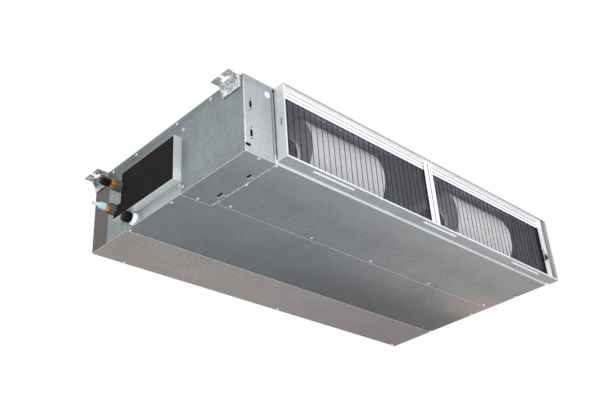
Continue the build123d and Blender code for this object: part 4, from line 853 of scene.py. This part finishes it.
def creased_foam():
    """Black foam sheet: 1.8 mm cells, dust in 70 mm clouds and two faint creases across it."""
    material, tree, place = blank_material("black_foam_sheet")
    cells = add(tree, "ShaderNodeTexVoronoi", {"Vector": place, "Scale": 1 / 0.0018})
    tone = add(tree, "ShaderNodeTexNoise", {"Vector": place, "Scale": 1 / 0.07, "Detail": 6.0,
                                            "Roughness": 0.6})
    colour = blend(tree, tone.outputs["Fac"], linear("#141211"), linear("#262321"))
    cut = add(tree, "ShaderNodeSeparateXYZ", {"Vector": place})
    crease_places = (-0.069, 0.143)
    crease_width = 0.003
    lines = []
    for y in crease_places:
        off = add(tree, "ShaderNodeMath", {0: cut.outputs["Y"], 1: y}, operation="SUBTRACT")
        near = add(tree, "ShaderNodeMath", {0: off.outputs[0]}, operation="ABSOLUTE")
        lines.append(add(tree, "ShaderNodeMapRange", {"Value": near.outputs[0], "From Max": crease_width}))
    creases = add(tree, "ShaderNodeMath", {0: lines[0].outputs[0], 1: lines[1].outputs[0]},
                  operation="MINIMUM")
    height = add(tree, "ShaderNodeMath", {0: cells.outputs["Distance"], 1: 0.25, 2: creases.outputs[0]},
                 operation="MULTIPLY_ADD")
    bump = add(tree, "ShaderNodeBump", {"Height": height.outputs[0], "Distance": 0.0008, "Strength": 0.6})
    shader = add(tree, "ShaderNodeBsdfPrincipled", {"Base Color": colour, "Roughness": 0.8,
                                                    "IOR": 1.45, "Specular IOR Level": 0.15,
                                                    "Normal": bump.outputs[0]})
    closed_tree(tree, shader)
    return material


# Black strips in the casing's gaps and behind its slots stand in for shadow: painted shadow.
shadow_strip_foam = foam_rubber("black_foam_painted_shadow", "#0e0e0e", "#1a1a1b", 0.0012, 0.9, 0.1)
jamb_low, jamb_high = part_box("inlet_frame_left")
cover_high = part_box("ebox_cover")[1]
strip_back = cover_high.y + 0.0010
# Each strip: its low and its high corner, measured from the sheets beside the gap that it darkens.
place_shadow_strip("shadow_strip_of_inlet_frame", (jamb_low.x - 0.0032, cover_high.y - 0.0030, jamb_low.z + 0.004),
           (jamb_low.x - 0.0006, strip_back, jamb_high.z - 0.001))
place_shadow_strip("shadow_plug_of_gap", (jamb_low.x - 0.0064, cover_high.y - 0.0036, jamb_high.z - 0.0125),
           (jamb_low.x - 0.0004, strip_back, jamb_high.z - 0.0050))
place_shadow_strip("shadow_strip_of_cover", (cover_high.x + 0.0001, cover_high.y - 0.0012, jamb_low.z + 0.002),
           (cover_high.x + 0.0014, strip_back, jamb_high.z - 0.020))
place_shadow_strip("shadow_pad_of_jamb", (jamb_low.x + 0.0013, jamb_low.y + 0.0075, 0.108),
           (jamb_low.x + 0.0025, jamb_low.y + 0.0185, 0.140))
guide_front = frame_front + 0.021
place_shadow_strip("shadow_strip_of_far_jamb", (far_wall - 0.0011, guide_front - 0.0036, jamb_low.z + 0.004),
           (far_wall - 0.0001, guide_front - 0.0002, jamb_high.z - 0.0285))
plate_low, plate_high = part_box("ebox_bottom_plate")
place_shadow_strip("shadow_strip_of_punched_slots", (plate_high.x - 0.021, plate_low.y + 0.070, 0.0014),
           (plate_high.x - 0.007, plate_low.y + 0.245, 0.0030))
foam_black = creased_foam()
folded("pipe_cover_foam", (foam_black,), 0.0012, least=0.002)
roof_foam = foam_rubber("grey_roof_foam", "#3a3b3d", "#4c4d50", 0.002, 0.9)
dressed_copy("top_insulation_sheet", "top_insulation", roof_foam)


# Drain: a white moulded socket with a stepped flange, a black rubber cap with grip ribs
# pushed on it, and the pan of expanded polystyrene inside.

def drain_fitting():
    """The socket: stepped flange, collar and pipe, open through its bore."""
    low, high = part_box("drain_socket")
    middle = (low + high) / 2
    seat = -0.6788
    collar_end, flange_end = seat - 0.012, seat - 0.005
    bore, pipe, collar, flange = 0.010, 0.0125, 0.0155, 0.0185
    ease = 0.0007
    profile = [(low.x, bore), (low.x, 0.0115), (low.x + 0.001, pipe), (collar_end, pipe),
               (collar_end, collar - ease), (collar_end + ease, collar), (flange_end, collar),
               (flange_end, flange - ease), (flange_end + ease, flange), (seat, flange), (seat, pipe),
               (high.x, pipe), (high.x, bore), (low.x, bore)]
    return turned(profile, middle.y, middle.z, 56)


def ribbed_rubber_cap():
    """The cap: a cup with ten deep grip lobes round it and a stepped end with a nub."""
    low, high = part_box("drain_cap")
    middle = (low + high) / 2
    core = 0.0129
    profile = [(low.x, 0.0), (low.x, 0.0028), (low.x + 0.0010, 0.0034), (low.x + 0.0010, 0.0085),
               (low.x + 0.0003, 0.0095), (low.x + 0.0010, core - 0.001), (low.x + 0.002, core),
               (high.x, core), (high.x, 0.0126), (low.x + 0.0040, 0.0126), (low.x + 0.0040, 0.0)]
    shape = turned(profile, middle.y, middle.z, 56)
    lobes = 10
    for index in range(lobes):
        place = (Matrix.Translation(((low.x + high.x) / 2 + 0.0004, middle.y, middle.z))
                 @ Matrix.Rotation(2 * pi * index / lobes, 4, "X") @ Matrix.Translation((0, 0, 0.0134)))
        eased_block(shape, place, (high.x - low.x - 0.001, 0.0050, 0.0042), 0.0014, 3)
    for face in shape.faces:
        face.smooth = True
    return shape


socket_white = moulded_plastic("white_abs_drain_socket", "#eef0f1", "#fbfcfc", 0.001, 0.3)
rubber_black = moulded_plastic("black_moulded_rubber", "#050506", "#0d0d0e", 0.0008, 0.25, 0.15)
dressed("drain_socket_moulding", drain_fitting(), (socket_white,), "casing",
        ("drain_socket",), 30.0)
dressed("drain_cap_ribbed", ribbed_rubber_cap(), (rubber_black,), "casing", ("drain_cap",),
        30.0)
bead_foam = foam_rubber("expanded_polystyrene_pan", "#d9dcdd", "#eef0f0", 0.004, 0.75)
dressed_copy("drain_pan_foam", "drain_pan", bead_foam)


# Return air sensor: a white sheathed lead out of the far jamb, with an orange sleeve
# where it meets the small black resin bulb.

def sensor_sheath():
    """White sheath, orange below 112 mm, and black for the bulb itself, below 100 mm."""
    material, tree, place = blank_material("sheathed_lead_and_resin_bulb")
    cut = add(tree, "ShaderNodeSeparateXYZ", {"Vector": place})
    worn = add(tree, "ShaderNodeTexNoise", {"Vector": place, "Scale": 1 / 0.004, "Detail": 3.0})
    wavy = add(tree, "ShaderNodeMath", {0: worn.outputs["Fac"], 1: 0.002, 2: cut.outputs["Z"]},
               operation="MULTIPLY_ADD")
    sleeve = add(tree, "ShaderNodeMapRange", {"Value": wavy.outputs[0], "From Min": 0.114, "From Max": 0.110})
    bulb = add(tree, "ShaderNodeMapRange", {"Value": wavy.outputs[0], "From Min": 0.1005, "From Max": 0.0995})
    sheath = blend(tree, sleeve.outputs[0], linear("#e9e9ea"), linear("#e3b9a0"))
    colour = blend(tree, bulb.outputs[0], sheath, linear("#0b0b0c"))
    shader = add(tree, "ShaderNodeBsdfPrincipled", {"Base Color": colour, "Roughness": 0.35,
                                                    "IOR": 1.5})
    closed_tree(tree, shader)
    return material


dressed_copy("air_sensor_lead", "air_sensor", sensor_sheath())


# Control parts inside the box: lacquered board, terminal block and capacitor can.

board_green = enamel("green_board_lacquer", "#235537", "#34744c", 0.35)
terminal_cream = moulded_plastic("cream_terminal_block", "#d9d4c6", "#ece8dc", 0.0008, 0.4)
can_grey = drawn_metal("drawn_aluminium_can", "#7f8386", "#b4b8ba", 1, 0.001, 0.3)
dressed_copy("circuit_board_lacquered", "circuit_board", board_green)
dressed_copy("terminal_block_moulding", "terminal_block", terminal_cream)
dressed_copy("run_capacitor_can", "run_capacitor", can_grey)


# Studio: a white world, a broad key lamp before the inlet side, a faint warm one beyond the
# far end, and a pale floor far below the hanging unit, out of the picture.

def white_world():
    """White for the camera and for reflections, a little less as light."""
    world = bpy.data.worlds.new("white_studio")
    bpy.context.scene.world = world
    world.use_nodes = True
    tree = world.node_tree
    tree.nodes.clear()
    path = add(tree, "ShaderNodeLightPath")
    seen = add(tree, "ShaderNodeMath", {0: path.outputs["Is Camera Ray"], 1: path.outputs["Is Glossy Ray"]},
               operation="MAXIMUM")
    clear = add(tree, "ShaderNodeMath", {0: seen.outputs[0], 1: path.outputs["Is Transmission Ray"]},
                operation="MAXIMUM")
    light = add(tree, "ShaderNodeBackground", {"Color": linear("#f6f6f7"), "Strength": 0.85})
    white = add(tree, "ShaderNodeBackground", {"Color": (1, 1, 1, 1), "Strength": 1.0})
    both = add(tree, "ShaderNodeMixShader", {0: clear.outputs[0], 1: light.outputs[0], 2: white.outputs[0]})
    add(tree, "ShaderNodeOutputWorld", {"Surface": both.outputs[0]})


white_world()
floor_height = -1.75
floor_half = 6.0
floor_shape = bmesh.new()
bmesh.ops.create_grid(floor_shape, x_segments=1, y_segments=1, size=floor_half,
                      matrix=Matrix.Translation((0, 0, floor_height)))
floor_mesh = bpy.data.meshes.new("studio_floor")
floor_shape.to_mesh(floor_mesh)
floor_shape.free()
floor_paint, floor_tree, floor_place = blank_material("pale_studio_floor")
closed_tree(floor_tree, add(floor_tree, "ShaderNodeBsdfPrincipled", {"Base Color": linear("#f1f1f1"),
                                                                     "Roughness": 0.9}))
floor_mesh.materials.append(floor_paint)
studio_floor = bpy.data.objects.new("studio_floor", floor_mesh)
bpy.context.scene.collection.objects.link(studio_floor)


def soft_lamp(name, place, aim, size, power, colour="#ffffff"):
    """A square softbox that points at a place on the unit."""
    lamp = bpy.data.lights.new(name, "AREA")
    lamp.size = size
    lamp.energy = power
    lamp.color = linear(colour)[:3]
    box = bpy.data.objects.new(name, lamp)
    box.location = place
    box.rotation_euler = (Vector(aim) - Vector(place)).to_track_quat("-Z", "Y").to_euler()
    bpy.context.scene.collection.objects.link(box)


soft_lamp("key_softbox", (-0.9, -3.0, -0.3), aim=(0.1, -0.3, 0.1), size=1.4, power=70)
soft_lamp("far_softbox", (2.9, 1.0, -1.2), aim=(0.5, -0.2, 0), size=2.0, power=4, colour="#ffd6bd")


# Camera: below the unit on the inlet side, looking up, as in the photograph.

photo_width = 600
photo_height = 400
focal_px = 867.41
centre_px = (322.22, 185.14)
picture_width_mm = 36.0
camera_place = Vector((-1.8700, -1.7017, -1.1950))
right_way = Vector((0.70994, -0.70042, -0.07342)).normalized()
up_way = Vector((-0.31778, -0.41163, 0.85415))
view_way = Vector((0.62849, 0.58307, 0.51481)).normalized()
up_way = (up_way - view_way * up_way.dot(view_way) - right_way * up_way.dot(right_way)).normalized()
camera = bpy.data.cameras.new("photo_camera")
camera.sensor_fit = "HORIZONTAL"
camera.sensor_width = picture_width_mm
camera.lens = focal_px * camera.sensor_width / photo_width
camera.shift_x = (photo_width / 2 - centre_px[0]) / photo_width
camera.shift_y = (centre_px[1] - photo_height / 2) / photo_width
camera.clip_start = 0.05
camera.clip_end = 50
eye = bpy.data.objects.new("photo_camera", camera)
turn = Matrix((right_way, up_way, -view_way)).transposed().to_4x4()
eye.matrix_world = Matrix.Translation(camera_place) @ turn
bpy.context.scene.collection.objects.link(eye)
bpy.context.scene.camera = eye
bpy.context.scene.view_settings.view_transform = "Standard"
